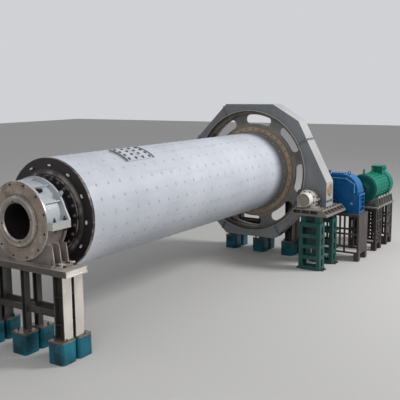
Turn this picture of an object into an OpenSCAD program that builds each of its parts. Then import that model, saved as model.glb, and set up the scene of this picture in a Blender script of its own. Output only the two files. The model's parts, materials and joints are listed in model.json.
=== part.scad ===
// Ball mill: a long grinding drum on two trunnion bearings, turned by a girth gear and pinion
// from a reducer and motor that stand in line beside the drum's discharge end.
// X runs along the drum from feed to discharge, -Y is the drive side, Z is up from the floor.

/* [Drum] */
// Outside diameter of the shell
drum_d = 2400; // [2200:10:2560]
// Length over the outer faces of the two heads
drum_l = 9130; // [7000:10:11000]
// Thickness of the shell plate
shell_t = 30; // [16:1:60]
// Thickness of each head
head_t = 70; // [40:1:100]
// Thickness of the shell flange that carries the gear
flange_t = 60; // [30:1:90]
// Height of that flange above the shell
flange_h = 170; // [120:5:200]
// Length of the shell's thickened end
end_band_l = 340; // [200:10:500]
// Extra thickness of that end
end_band_t = 45; // [15:1:80]
// Height of the drum's axis above the floor
axis_h = 2750; // [2650:10:3200]
// Number of round pads on the feed head
head_pads = 12; // [6:1:24]
// Length of the manhole saddle along the shell
saddle_l = 1000; // [600:10:1400]
// Angle that the manhole saddle takes up around the shell
saddle_arc = 27; // [18:1:34]
// Thickness of the manhole saddle
saddle_t = 26; // [12:1:50]

/* [Trunnions] */
// Radius of the bore through each trunnion
bore_r = 370; // [300:5:400]
// Radius of the journals
journal_r = 500; // [480:5:540]
// Radius of the trunnion flanges
trunnion_flange_r = 840; // [780:5:900]
// Thickness of the trunnion flanges
trunnion_flange_t = 60; // [30:1:90]
// Length of each trunnion outside its head
trunnion_l = 940; // [900:5:1000]
// Number of tapped holes in the discharge trunnion's end
end_holes = 12; // [6:1:20]
// Radius of those tapped holes
end_hole_r = 10; // [6:1:13]

/* [Main bearings] */
// Distance of each bearing's middle from its head
bearing_at = 600; // [560:5:620]
// Width of each bearing housing
housing_w = 500; // [440:5:520]
// Radius of the rolling bearing's outer ring
bearing_r = 700; // [680:5:720]
// Width of the rolling bearing
bearing_w = 375; // [300:5:400]
// Radius of the end covers
cover_r = 811; // [790:1:830]
// Thickness of the end covers
cover_t = 25; // [12:1:35]
// Radius of the cap's rear flange
cap_flange_r = 850; // [820:5:900]
// Number of ribs over each cap
cap_ribs = 5; // [3:1:9]

/* [Pedestals] */
// Height of each pedestal table's top below the drum's axis
table_drop = 870; // [850:5:900]
// Depth of the table beams
table_h = 130; // [90:5:180]
// Length of the tables across the drum
table_l = 2600; // [2500:10:2900]
// Width of the tables along the drum
table_w = 600; // [580:5:640]
// How far the pedestals stand outside the bearings' middles
table_shift = 15; // [0:5:40]
// Distance of the outer columns from the middle
col_outer = 1040; // [1000:5:1080]
// Spacing of the two column rows
col_rows = 324; // [300:2:340]
// Size of an outer column across the drum
col_d = 260; // [220:5:300]
// Size of an outer column along the drum
col_b = 245; // [200:5:270]
// Size of the slim middle posts
post_b = 130; // [100:5:160]
// Height of the foot blocks
block_h = 430; // [300:5:520]
// Length of a foot block along the drum
block_l = 400; // [380:5:440]
// Width of a foot block
block_w = 420; // [360:5:460]
// How far each foot block lies outside its column
block_shift = 70; // [50:5:75]

/* [Girth gear] */
// Number of teeth on the girth gear
gear_teeth = 156; // [150:2:164]
// Number of teeth on the pinion
pinion_teeth = 23; // [21:1:25]
// Module of the teeth
gear_module = 25; // [24.5:0.1:26]
// Face width of the girth gear
gear_face = 400; // [300:10:440]
// Depth of the rim below the tooth roots
rim_t = 125; // [90:5:140]
// Thickness of the gear's web
web_t = 50; // [30:1:56]
// Number of windows in the web
web_windows = 8; // [6:1:12]
// Width of the spokes between the windows, as an angle
web_spoke = 14; // [10:0.5:18]
// How far the pinion's centre lies below the drum's axis, as an angle
pinion_angle = 18; // [14:0.5:20]

/* [Gear guard] */
// Clear width inside the guard on each side of the gear
guard_side = 60; // [40:5:100]
// Clearance of the guard's rim outside the teeth
guard_gap = 125; // [80:5:160]
// Clearance of the guard outside the pinion's teeth
guard_pinion_gap = 90; // [70:5:100]
// Thickness of the guard's plates
guard_t = 12; // [8:1:20]
// Depth of the lip round each round opening
guard_lip = 55; // [30:5:90]

/* [Pinion train] */
// Radius of the pinion shaft
pinion_shaft_r = 110; // [90:5:130]
// Radius of the pinion bearing housings
pinion_bearing_r = 250; // [235:5:270]
// Gap between the guard and the near pinion bearing
near_bearing_gap = 45; // [20:5:80]
// Gap between the guard and the far pinion bearing
far_bearing_gap = 20; // [15:5:60]
// Radius of the cap over the pinion shaft's near end
end_cap_r = 205; // [170:5:225]
// Length of that cap
end_cap_l = 280; // [120:10:320]
// Height of the pinion's base
base_h = 190; // [160:5:230]
// Sideways distance between the reducer's two shafts
reducer_centres = 700; // [640:5:740]
// Length of the reducer's casing
reducer_l = 450; // [400:10:600]
// Radius of the reducer's round shoulders
reducer_r = 500; // [400:5:540]
// Distance between the reducer and the motor
motor_gap = 930; // [800:10:1100]
// Radius of the motor's body
motor_r = 470; // [430:5:490]
// Length of the motor
motor_l = 1820; // [1700:10:1900]

/* [Hidden] */
$fn = 96;

// Clearances: a shaft in its bearing, a curved seat, a seam between plates, and a free running gap
running = 0.05;
seat = 0.9;
seam = 0.6;
free_gap = 12;

drum_r = drum_d / 2;
floor_z = -axis_h;
hub_t = 60;
hub_x = drum_l - head_t - hub_t;
flange_x = hub_x - flange_t;
flange_r = drum_r + flange_h;
end_band_x = flange_x - end_band_l;
gear_x = hub_x + hub_t / 2;
rim_x = gear_x - gear_face / 2 - 20;

gear_rp = gear_teeth * gear_module / 2;
gear_tip = gear_rp + gear_module;
gear_root = gear_rp - 1.25 * gear_module;
rim_r = gear_root - rim_t;
hub_r = flange_r + 90;
pinion_rp = pinion_teeth * gear_module / 2;
pinion_tip = pinion_rp + gear_module;
centre_d = gear_rp + pinion_rp;
// The pinion's centre, to a tenth of a millimetre
pinion_y = -round(10 * centre_d * cos(pinion_angle)) / 10;
pinion_z = -round(10 * centre_d * sin(pinion_angle)) / 10;

guard_x = rim_x - guard_side;
guard_w = gear_face + 2 * guard_side;
guard_in = gear_rp - 50;
guard_r = gear_tip + guard_gap;
guard_left = pinion_y - pinion_tip - 160;
guard_low = pinion_z - pinion_tip - guard_pinion_gap;
guard_shoulder = 475;
guard_skirt = 265;
guard_outline = [
  [guard_r * tan(22.5), guard_r], [-0.38 * guard_r, guard_r], [-0.79 * guard_r, 0.762 * guard_r],
  [guard_left, pinion_z + guard_shoulder], [guard_left, pinion_z - guard_skirt],
  [-guard_r * sqrt(2) - guard_low, guard_low],
  [-guard_r * tan(22.5), -guard_r], [guard_r * tan(22.5), -guard_r],
  [guard_r, -guard_r * tan(22.5)], [guard_r, guard_r * tan(22.5)]
];

cap_plate = 40;
split_plate = 115;
split_y = 930;
flange_w = 40;
housing_foot = table_drop - cover_r - 4;
column_top = -table_drop - table_h;
block_plate = 30;
column_bottom = floor_z + block_h + block_plate;
foot_x = bearing_at + table_shift;

near_bearing_w = 220;
far_bearing_w = 240;
near_bearing_x = guard_x - guard_lip - near_bearing_gap - near_bearing_w / 2;
far_bearing_x = guard_x + guard_w + guard_lip + far_bearing_gap + far_bearing_w / 2;
bearing_foot_z = pinion_z - pinion_bearing_r - 10;
base_z = bearing_foot_z - base_h;
base_plate = 35;
packer_h = 190;
stand_top = base_z - packer_h;

coupling_x = far_bearing_x + far_bearing_w / 2 + 15;
coupling_l = 200;
reducer_x = coupling_x + coupling_l + 50;
reducer_end = reducer_x + reducer_l;
motor_y = pinion_y - reducer_centres;
motor_x = reducer_end + motor_gap;
reducer_stand_top = pinion_z - 580;
reducer_stand_out = 480;
motor_rail_out = 520;

x_low = -foot_x - max(col_rows / 2 + block_shift + block_l / 2, table_w / 2);
x_low_end = min(x_low, -trunnion_l);
x_high = motor_x + motor_l;
y_low = motor_y - max(reducer_stand_out, motor_rail_out);
y_high = max(guard_r, table_l / 2);

// Shared shapes
module in_mill() translate([-(x_low_end + x_high) / 2, -(y_low + y_high) / 2, axis_h]) children();
module at_feed() in_mill() mirror([1, 0, 0]) children();
module at_discharge() in_mill() translate([drum_l, 0, 0]) children();
// Turns a drawing in (y, z) so that its third direction runs along X from x
module along_x(x) translate([x, 0, 0]) rotate([90, 0, 90]) children();
module ring_x(x, l, r_out, r_in) along_x(x) difference() {
  cylinder(h = l, r = r_out);
  translate([0, 0, -1]) cylinder(h = l + 2, r = r_in);
}
module bar_x(x, l, r) along_x(x) cylinder(h = l, r = r);
module block(low, high) translate(low) cube(high - low);
module around(count, first = 0) for (i = [0 : count - 1]) rotate([first + i * 360 / count, 0, 0]) children();
module rounded(w, d, r) union() {
  square([w - 2 * r, d], center = true);
  square([w, d - 2 * r], center = true);
  for (sx = [-1, 1], sy = [-1, 1]) translate([sx * (w / 2 - r), sy * (d / 2 - r)]) circle(r, $fn = 32);
}

function polar(r, a) = [r * cos(a), r * sin(a)];
function involute(a) = tan(a) * 180 / PI - a;
// Half the angle that a tooth takes up at radius r, below the base circle as on it
function tooth_half(r, rp, thick) =
  thick / (2 * rp) * 180 / PI + involute(20) - involute(acos(min(1, rp * cos(20) / max(r, rp * cos(20)))));
function gear_points(teeth, rp, thick, radii) = [
  for (i = [0 : teeth - 1])
    for (side = [-1, 1])
      for (k = [0 : len(radii) - 1])
        let (r = side < 0 ? radii[k] : radii[len(radii) - 1 - k])
          polar(r, i * 360 / teeth + side * tooth_half(r, rp, thick))
];

// Drum
module shell() color([0.78, 0.8, 0.83]) in_mill()
  ring_x(head_t, end_band_x - head_t, drum_r, drum_r - shell_t);

// Forged end ring: a thickened band that runs out to the shell's thickness, and the gear's flange
module shell_flange() color([0.55, 0.48, 0.42]) in_mill() along_x(0) rotate_extrude() polygon([
  [drum_r - shell_t, end_band_x], [drum_r, end_band_x], [drum_r + end_band_t, end_band_x + end_band_l / 2],
  [drum_r + end_band_t, flange_x], [flange_r, flange_x], [flange_r, flange_x + flange_t],
  [drum_r - shell_t, flange_x + flange_t]
]);

saddle_x = 1750;
saddle_mid = 68;
module manhole_saddle() color([0.72, 0.74, 0.77]) in_mill() {
  intersection() {
    ring_x(saddle_x, saddle_l, drum_r + saddle_t, drum_r + seat);
    saddle_wedge(saddle_x - 1, saddle_l + 2, saddle_arc);
  }
}
module saddle_wedge(x, l, arc) along_x(x) rotate(180 - saddle_mid) linear_extrude(l)
  polygon([[0, 0], polar(2 * drum_r, -arc / 2), polar(2 * drum_r, arc / 2)]);

head_hole_r = bore_r + 60;
module head(pads) {
  ring_x(-head_t, head_t, drum_r, head_hole_r);
  around(pads, 4) translate([0, -drum_r + 150, 0]) bar_x(0, 18, 34);
}
module feed_head() color([0.2, 0.17, 0.17]) at_feed() head(head_pads);
module discharge_head() color([0.2, 0.17, 0.17]) at_discharge() ring_x(-head_t, head_t, flange_r, head_hole_r);

lock_l = 50;
lock_r = journal_r + 10;
spigot_r = journal_r - 40;
neck_r = journal_r + 120;
module trunnion_body() along_x(0) rotate_extrude() polygon([
  [bore_r, 0], [trunnion_flange_r, 0], [trunnion_flange_r, trunnion_flange_t],
  [neck_r, trunnion_flange_t], [neck_r - 70, trunnion_flange_t + 50], [journal_r, trunnion_flange_t + 160],
  [journal_r, trunnion_l - lock_l - 10], [spigot_r, trunnion_l - lock_l - 10], [spigot_r, trunnion_l],
  [bore_r + 30, trunnion_l], [bore_r, trunnion_l - 30]
]);
module feed_trunnion() color([0.25, 0.22, 0.22]) at_feed() trunnion_body();
module discharge_trunnion() color([0.25, 0.22, 0.22]) at_discharge() difference() {
  trunnion_body();
  around(end_holes) translate([0, (spigot_r + bore_r + 30) / 2, 0]) bar_x(trunnion_l - 40, 50, end_hole_r);
}
module lock_ring() ring_x(trunnion_l - lock_l - 10, lock_l, lock_r, spigot_r);
module feed_lock_ring() color([0.6, 0.56, 0.52]) at_feed() lock_ring();
module discharge_lock_ring() color([0.6, 0.56, 0.52]) at_discharge() lock_ring();

// Girth gear, in two halves that meet in a tooth space
tooth_w = PI * gear_module / 2;
module girth_gear() color([0.33, 0.33, 0.34]) in_mill() difference() {
  along_x(rim_x) linear_extrude(gear_face) difference() {
    rotate(180 + pinion_angle) polygon(gear_points(gear_teeth, gear_rp, tooth_w, [gear_root, gear_tip]));
    circle(rim_r);
  }
  along_x(rim_x - 1) rotate(180 + pinion_angle + 180 / gear_teeth) linear_extrude(gear_face + 2)
    square([3 * gear_rp, seam], center = true);
}

window_edge = 20;
window_low = hub_r + window_edge;
window_high = rim_r - window_edge;
window_arc = 360 / web_windows - web_spoke;
// Turns the pattern of windows to where it stands when the drum is at rest
window_turn = 6;
module web_window() {
  mid = (window_low + window_high) / 2;
  end_r = (window_high - window_low) / 2;
  end_a = window_arc / 2 - asin(end_r / mid);
  intersection() {
    difference() {
      circle(window_high);
      circle(window_low);
    }
    polygon([[0, 0], polar(2 * rim_r, -end_a), polar(2 * rim_r, end_a)]);
  }
  for (side = [-1, 1]) rotate(side * end_a) translate([mid, 0]) circle(end_r, $fn = 32);
}
module gear_web() color([0.4, 0.4, 0.41]) in_mill() {
  ring_x(hub_x, hub_t, hub_r, drum_r - shell_t);
  along_x(gear_x - web_t / 2) linear_extrude(web_t) difference() {
    circle(rim_r);
    circle(hub_r - 10);
    for (i = [0 : web_windows - 1]) rotate(window_turn + i * 360 / web_windows) web_window();
  }
}

// Main bearings, drawn with X outwards from the head
module bearing_ring() ring_x(bearing_at - bearing_w / 2, bearing_w, bearing_r, journal_r + running);
module feed_bearing() color([0.7, 0.7, 0.7]) at_feed() bearing_ring();
module discharge_bearing() color([0.7, 0.7, 0.7]) at_discharge() bearing_ring();

housing_x = bearing_at - housing_w / 2;
housing_end = housing_x + housing_w;
cap_r = bearing_r + 70;
foot_y = 880;
foot_lap = 30;
neck_y = 640;
neck_z = -400;
base_rib_t = 30;
base_rib_y = 830;
base_rib_z = -430;
module bearing_base() difference() {
  union() {
    bar_x(housing_x, housing_w, cap_r);
    for (x = [housing_x, housing_end - flange_w]) bar_x(x, flange_w, cover_r);
    block([housing_x, -split_y, -split_plate], [housing_end, split_y, 0]);
    block([housing_x + flange_w, -neck_y, -table_drop], [housing_end - flange_w, neck_y, neck_z]);
    block([housing_x - foot_lap, -foot_y, -table_drop],
      [housing_end + foot_lap, foot_y, housing_foot - table_drop]);
    for (k = [0 : 2]) along_x(housing_x + flange_w + k * (housing_w - 2 * flange_w - base_rib_t) / 2)
      linear_extrude(base_rib_t) polygon([[-base_rib_y, base_rib_z], [-foot_y, housing_foot - table_drop],
        [foot_y, housing_foot - table_drop], [base_rib_y, base_rib_z]]);
  }
  bar_x(housing_x - 1, housing_w + 2, bearing_r);
  block([housing_x - 1, -split_y - 1, 0], [housing_end + 1, split_y + 1, cover_r + 1]);
}
module feed_bearing_base() color([0.45, 0.42, 0.4]) at_feed() bearing_base();
module discharge_bearing_base() color([0.45, 0.42, 0.4]) at_discharge() bearing_base();

cap_rib_h = 50;
cap_rib_t = 24;
// The rear flange's straight sides end a little inside its round top
flare_r = 0.985 * cap_flange_r;
flare = acos(flare_r / split_y);
module bearing_cap() difference() {
  union() {
    bar_x(housing_x, housing_w, cap_r);
    bar_x(housing_end - flange_w, flange_w, cover_r);
    along_x(housing_x) linear_extrude(flange_w) {
      circle(cap_flange_r);
      polygon([[-split_y, 0], [-split_y, cap_plate], polar(flare_r, 180 - flare), polar(flare_r, flare),
        [split_y, cap_plate], [split_y, 0]]);
    }
    for (k = [1 : cap_ribs]) rotate([k * 180 / (cap_ribs + 1), 0, 0])
      block([housing_x + flange_w / 2, 0, -cap_rib_t / 2],
        [housing_end - flange_w / 2, cap_r + cap_rib_h, cap_rib_t / 2]);
    block([housing_x, -split_y, 0], [housing_end, split_y, cap_plate]);
  }
  bar_x(housing_x - 1, housing_w + 2, bearing_r);
  block([housing_x - 1, -split_y - 1, -split_y], [housing_end + 1, split_y + 1, 0]);
}
module feed_bearing_cap() color([0.75, 0.78, 0.8]) at_feed() bearing_cap();
module discharge_bearing_cap() color([0.75, 0.78, 0.8]) at_discharge() bearing_cap();

cover_bore_r = journal_r + free_gap;
seal_h = 8;
module bearing_covers() {
  ring_x(housing_x - cover_t, cover_t, cover_r, cover_bore_r);
  ring_x(housing_end, cover_t, cover_r, cover_bore_r);
  ring_x(housing_end + cover_t, seal_h, cover_bore_r + 2 * free_gap, cover_bore_r);
}
module feed_bearing_covers() color([0.56, 0.53, 0.5]) at_feed() bearing_covers();
module discharge_bearing_covers() color([0.56, 0.53, 0.5]) at_discharge() bearing_covers();

// Pedestals
table_plate = 30;
table_side = 15;
adjuster = [80, 60, 95];
module table() {
  low = [foot_x - table_w / 2, -table_l / 2, -table_drop - table_h];
  high = [foot_x + table_w / 2, table_l / 2, -table_drop];
  for (z = [low.z, high.z - table_plate]) block([low.x, low.y, z], [high.x, high.y, z + table_plate]);
  block(low + [table_side, table_side, 0], high - [table_side, table_side, 0]);
  // Blocks whose screws push the bearing along and across the table
  for (side = [-1, 1], x = [low.x + 2 * adjuster.x, high.x - 2 * adjuster.x]) {
    y = side * (foot_y + 3 * adjuster.y);
    block([x - adjuster.x / 2, y - adjuster.y / 2, high.z],
      [x + adjuster.x / 2, y + adjuster.y / 2, high.z + adjuster.z]);
  }
}
module feed_table() color([0.24, 0.23, 0.23]) at_feed() table();
module discharge_table() color([0.24, 0.23, 0.23]) at_discharge() table();

col_flange = 22;
col_web = 16;
module h_section(b, d) {
  for (side = [-1, 1]) translate([0, side * (d - col_flange) / 2]) square([b, col_flange], center = true);
  square([col_web, d], center = true);
}
column_ys = [-col_outer, 0, col_outer];
module columns() for (side = [-1, 1], y = column_ys)
  translate([foot_x + side * col_rows / 2, y, column_bottom]) linear_extrude(column_top - column_bottom)
    if (y == 0) h_section(post_b, post_b); else h_section(col_b, col_d);
module feed_columns() color([0.27, 0.26, 0.26]) at_feed() columns();
module discharge_columns() color([0.27, 0.26, 0.26]) at_discharge() columns();

brace_h = 130;
brace_t = 50;
brace_level = 0.36;
brace_z = column_bottom + brace_level * (column_top - column_bottom);
module braces() {
  z = brace_z;
  for (side = [-1, 1], k = [-1, 1]) {
    x = foot_x + side * col_rows / 2;
    inner = post_b / 2;
    outer = col_outer - col_d / 2;
    block([x - brace_t / 2, min(k * inner, k * outer), z - brace_h / 2],
      [x + brace_t / 2, max(k * inner, k * outer), z + brace_h / 2]);
  }
  half = (col_rows - col_web) / 2;
  for (y = column_ys) block([foot_x - half, y - brace_t / 2, z - brace_h / 2],
    [foot_x + half, y + brace_t / 2, z + brace_h / 2]);
}
module feed_braces() color([0.27, 0.26, 0.26]) at_feed() braces();
module discharge_braces() color([0.27, 0.26, 0.26]) at_discharge() braces();

block_round = 70;
plate_inset = 10;
module foot_blocks() for (side = [-1, 1], y = column_ys)
  translate([foot_x + side * (col_rows / 2 + block_shift), y, floor_z]) {
    linear_extrude(block_h) rounded(block_l, block_w, block_round);
    translate([0, 0, block_h]) linear_extrude(block_plate)
      rounded(block_l - 2 * plate_inset, block_w - 2 * plate_inset, 2 * plate_inset);
  }
module feed_foot_blocks() color([0, 0.37, 0.45]) at_feed() foot_blocks();
module discharge_foot_blocks() color([0, 0.37, 0.45]) at_discharge() foot_blocks();

// Gear guard, from plates that meet at seams along the lines to the outline's corners
guard_corners = len(guard_outline);
module guard_wedge(i) {
  a = guard_outline[i];
  b = guard_outline[(i + 1) % guard_corners];
  first = atan2(a.y, a.x) + seam_angle;
  last = atan2(b.y, b.x) - seam_angle;
  polygon([[0, 0], polar(3 * guard_r, first), polar(3 * guard_r, last)]);
}
seam_angle = asin(seam / 2 / guard_r);
module guard_side_plate(x, lip_x) for (i = [0 : guard_corners - 1]) difference() {
  union() {
    along_x(x) linear_extrude(guard_t) intersection() {
      difference() {
        polygon(guard_outline);
        circle(guard_in);
      }
      guard_wedge(i);
    }
    along_x(lip_x) linear_extrude(guard_lip) intersection() {
      difference() {
        circle(guard_in + guard_t);
        circle(guard_in);
      }
      guard_wedge(i);
    }
  }
  translate([0, pinion_y, pinion_z]) bar_x(x - 1, guard_t + 2, pinion_shaft_r + free_gap);
}
module guard_front() color([0.42, 0.43, 0.45]) in_mill() guard_side_plate(guard_x, guard_x - guard_lip);
module guard_rear() color([0.42, 0.43, 0.45]) in_mill()
  guard_side_plate(guard_x + guard_w - guard_t, guard_x + guard_w);
module guard_rim() color([0.8, 0.8, 0.8]) in_mill() for (i = [0 : guard_corners - 1])
  along_x(guard_x + guard_t) linear_extrude(guard_w - 2 * guard_t) intersection() {
    difference() {
      polygon(guard_outline);
      scale(1 - guard_t / guard_r) polygon(guard_outline);
    }
    guard_wedge(i);
  }

// Beams that hold the guard's rear to the discharge pedestal's outer columns, and pads under its skirt
bracket_w = 100;
bracket_h = 120;
bracket_z = brace_z + brace_h / 2 + seam;
pad_w = 90;
skirt = [guard_outline[5], guard_outline[4]];
function skirt_z(y) = skirt[0].y + (y - skirt[0].x) * (skirt[1].y - skirt[0].y) / (skirt[1].x - skirt[0].x);
module guard_feet() color([0.3, 0.3, 0.31]) in_mill() {
  for (side = [-1, 1]) block([guard_x + guard_w, side * col_outer - bracket_w / 2, bracket_z],
    [drum_l + foot_x - (col_rows + col_web) / 2, side * col_outer + bracket_w / 2, bracket_z + bracket_h]);
  pad_z = base_z + base_plate;
  ys = [base_mid_right - pad_w, base_mid_right];
  for (x = [guard_x, guard_x + guard_w - pad_w]) along_x(x) linear_extrude(pad_w)
    polygon([[ys[0], pad_z], [ys[1], pad_z], [ys[1], skirt_z(ys[1]) - seam], [ys[0], skirt_z(ys[0]) - seam]]);
}

// Pinion train
module on_pinion() translate([0, pinion_y, pinion_z]) children();
pinion_face = gear_face + 40;
pinion_root = pinion_rp - 1.25 * gear_module;
pinion_base_r = pinion_rp * cos(20);
pinion_x = rim_x - (pinion_face - gear_face) / 2;
pinion_radii = [pinion_root, pinion_base_r, (2 * pinion_base_r + pinion_tip) / 3,
  (pinion_base_r + 2 * pinion_tip) / 3, pinion_tip];
module pinion() color([0.5, 0.48, 0.44]) in_mill() on_pinion() along_x(pinion_x) linear_extrude(pinion_face)
  difference() {
    rotate(pinion_angle + 180 / pinion_teeth)
      polygon(gear_points(pinion_teeth, pinion_rp, tooth_w - 2, pinion_radii));
    circle(pinion_shaft_r);
  }

shaft_x = near_bearing_x - near_bearing_w / 2 + 20;
stub_l = 90;
module pinion_shaft() color([0.62, 0.62, 0.62]) in_mill() on_pinion()
  bar_x(shaft_x, reducer_x + stub_l - shaft_x, pinion_shaft_r);

low_coupling_r = 240;
module coupling(l, r) along_x(0) rotate_extrude() polygon([
  [0, 0], [0.66 * r, 0], [0.66 * r, 0.3 * l], [r, 0.36 * l], [r, 0.64 * l], [0.66 * r, 0.7 * l],
  [0.66 * r, l], [0, l]
]);
module low_speed_coupling() color([0.35, 0.35, 0.36]) in_mill() on_pinion() difference() {
  translate([coupling_x, 0, 0]) coupling(coupling_l, low_coupling_r);
  bar_x(coupling_x - 1, coupling_l + 2, pinion_shaft_r);
}

bearing_foot_y = 320;
bearing_foot_t = 55;
bearing_lug_y = 70;
bearing_lug_t = 35;
bearing_ring_w = 40;
bearing_ring_h = 25;
module plummer_block(x, w) difference() {
  foot = bearing_foot_z - pinion_z;
  union() {
    bar_x(x - w / 2, w, pinion_bearing_r);
    for (side = [-1, 1]) bar_x(x + side * (w - bearing_ring_w) / 2 - bearing_ring_w / 2, bearing_ring_w,
      pinion_bearing_r + bearing_ring_h - (side < 0 ? 0 : bearing_ring_h / 2));
    block([x - w / 2, -pinion_bearing_r, foot], [x + w / 2, pinion_bearing_r, 0]);
    for (side = [-1, 1]) block([x - w / 2, -pinion_bearing_r - bearing_lug_y, -bearing_lug_t],
      [x + w / 2, pinion_bearing_r + bearing_lug_y, bearing_lug_t]);
    block([x - w / 2, -bearing_foot_y, foot], [x + w / 2, bearing_foot_y, foot + bearing_foot_t]);
  }
  bar_x(x - w / 2 - 1, w + 2, pinion_shaft_r + running);
  block([x - w / 2 - 1, -bearing_foot_y, foot - 2 * bearing_ring_h], [x + w / 2 + 1, bearing_foot_y, foot]);
}
module pinion_bearings() color([0.7, 0.71, 0.72]) in_mill() on_pinion() {
  plummer_block(near_bearing_x, near_bearing_w);
  plummer_block(far_bearing_x, far_bearing_w);
  bar_x(near_bearing_x - near_bearing_w / 2 - end_cap_l, end_cap_l, end_cap_r);
}

// A rail whose sloping outer face is open between its ribs, drawn with -Y outwards
rail_rib = 24;
module ribbed_rail(low_x, high_x, low_z, high_z, inner, top_out, low_out, cells) difference() {
  cell = (high_x - low_x - rail_rib) / cells;
  along_x(low_x) linear_extrude(high_x - low_x)
    polygon([[inner, low_z], [inner, high_z], [top_out, high_z], [low_out, low_z]]);
  for (k = [0 : cells - 1]) block([low_x + rail_rib + k * cell, low_out - 1, low_z + rail_rib],
    [low_x + (k + 1) * cell, inner - rail_rib, high_z - rail_rib]);
}

base_out = 770;
base_in = 330;
base_front = 330;
base_back = 15;
rail_w = 260;
rail_slope = 140;
base_left = pinion_y - base_out;
base_right = pinion_y + base_in;
base_x0 = near_bearing_x - near_bearing_w / 2 - base_front;
base_x1 = far_bearing_x + far_bearing_w / 2 + base_back;
base_mid_right = guard_outline[5].x - free_gap;
rail_in = base_left + rail_w;
rail_top = base_left + rail_slope;
base_cells = 6;
plinth_wall = 30;
module plinth(x0, x1) difference() {
  z0 = base_z + base_plate + seam;
  block([x0, rail_in + seam, z0], [x1, base_right, bearing_foot_z]);
  for (k = [0 : 2]) {
    cell = (base_right - rail_in - plinth_wall) / 3;
    y = rail_in + plinth_wall + k * cell;
    block([x0 - 1, y, z0 + plinth_wall],
      [x0 + (x1 - x0) / 3, y + cell - plinth_wall, bearing_foot_z - plinth_wall]);
  }
}
module pinion_base() color([0.33, 0.32, 0.31]) in_mill() {
  near = [base_x0, guard_x - guard_lip - free_gap];
  far = [guard_x + guard_w + guard_lip + free_gap, base_x1];
  block([base_x0, base_left, base_z], [base_x1, base_mid_right, base_z + base_plate]);
  for (span = [near, far]) {
    block([span[0], base_left, base_z], [span[1], base_right, base_z + base_plate]);
    plinth(span[0], span[1]);
  }
  ribbed_rail(base_x0, base_x1, base_z + base_plate + seam, bearing_foot_z,
    rail_in, rail_top, base_left, base_cells);
}

// Welded box stands: latticed or closed sides with a top plate, some of them on feet
module lattice(w, h, cols, rows, post, rail) {
  cell_w = (w - post) / max(cols, 1) - post;
  cell_h = (h - rail) / rows - rail;
  difference() {
    square([w, h]);
    if (cols > 0) for (c = [0 : cols - 1], r = [0 : rows - 1])
      translate([post + c * (cell_w + post), rail + r * (cell_h + rail)]) square([cell_w, cell_h]);
  }
}
stand_plate = 20;
module side_frame(low, high, y, cells, post, rail)
  translate([low.x + stand_plate + seam, y, low.z]) rotate([90, 0, 0]) linear_extrude(stand_plate)
    lattice(high.x - low.x - 2 * (stand_plate + seam), high.z - stand_plate - seam - low.z,
      cells.x, cells.z, post, rail);
module box_stand(low, high, cells, post, rail) {
  for (x = [low.x, high.x - stand_plate]) along_x(x) linear_extrude(stand_plate) translate([low.y, low.z])
    lattice(high.y - low.y, high.z - stand_plate - seam - low.z, cells.y, cells.z, post, rail);
  for (y = [low.y + stand_plate, high.y]) side_frame(low, high, y, cells, post, rail);
  block([low.x, low.y, high.z - stand_plate], high);
}
stand_foot = 160;
stand_foot_h = 230;
module stand_feet(low, high) for (x = [low.x, high.x - stand_foot], y = [low.y, high.y - stand_foot])
  block([x, y, floor_z], [x + stand_foot, y + stand_foot, low.z - seam]);

stand_w = 360;
stand_out = 592;
stand_in = 78;
stand_lap = 60;
far_stand_in = 600;
stand_x = [base_x0 - stand_lap, base_x1 - far_stand_in];
stand_y = [pinion_y - stand_out, pinion_y + stand_in];
stand_post = 110;
packer = 160;
module pinion_stands() color([0.12, 0.32, 0.28]) in_mill() for (x = stand_x) {
  box_stand([x, stand_y[0], floor_z], [x + stand_w, stand_y[1], stand_top], [1, 1, 4], stand_post, stand_post);
  for (y = [stand_y[0] + plinth_wall, stand_y[1] - plinth_wall - packer])
    block([x + 2 * plinth_wall, y, stand_top + seam], [x + stand_w - 2 * plinth_wall, y + packer, base_z]);
}

// Reducer
case_flange = 60;
case_lip = 20;
case_rise = 620;
case_out = 350;
case_in = 560;
case_low = reducer_stand_top + case_flange;
case_high = pinion_z + case_rise;
case_left = motor_y - case_out;
case_right = pinion_y + case_in;
case_y = [case_left - case_flange, case_right + case_flange];
split_t = 35;
case_rib_t = 30;
case_cover_h = 30;
low_cover_r = 260;
high_cover_r = 190;
idler_cover_r = 130;
shaft_end_gap = 10;
module case_outline() {
  ys = [case_left + reducer_r, case_right - reducer_r];
  for (y = ys) translate([y, case_high - reducer_r]) circle(reducer_r);
  translate([ys[0], case_low]) square([ys[1] - ys[0], case_high - case_low]);
  translate([case_left, case_low]) square([case_right - case_left, case_high - reducer_r - case_low]);
}
module reducer_casing() color([0, 0.28, 0.5]) in_mill() difference() {
  union() {
    along_x(reducer_x) linear_extrude(reducer_l) case_outline();
    for (z = [pinion_z - split_t, reducer_stand_top])
      block([reducer_x - case_lip, case_y[0], z], [reducer_end + case_lip, case_y[1], z + 2 * split_t]);
    for (x = [reducer_x, reducer_end - case_rib_t])
      block([x, case_y[0], reducer_stand_top], [x + case_rib_t, case_y[1], pinion_z]);
    on_pinion() bar_x(reducer_x - case_cover_h, 2 * case_cover_h, low_cover_r);
    for (c = [[motor_y, high_cover_r], [(motor_y + pinion_y) / 2, idler_cover_r]])
      translate([0, c[0], pinion_z]) bar_x(reducer_x - case_cover_h, reducer_l + 2 * case_cover_h, c[1]);
  }
  on_pinion() bar_x(reducer_x - case_cover_h - 1, stub_l + 2 * case_cover_h + 1, pinion_shaft_r + running);
  on_motor() bar_x(reducer_end - shaft_in - shaft_end_gap, shaft_in + 2 * shaft_end_gap + case_cover_h,
    high_shaft_r + running);
}
reducer_stand_lap = 160;
frame_post = 60;
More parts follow.
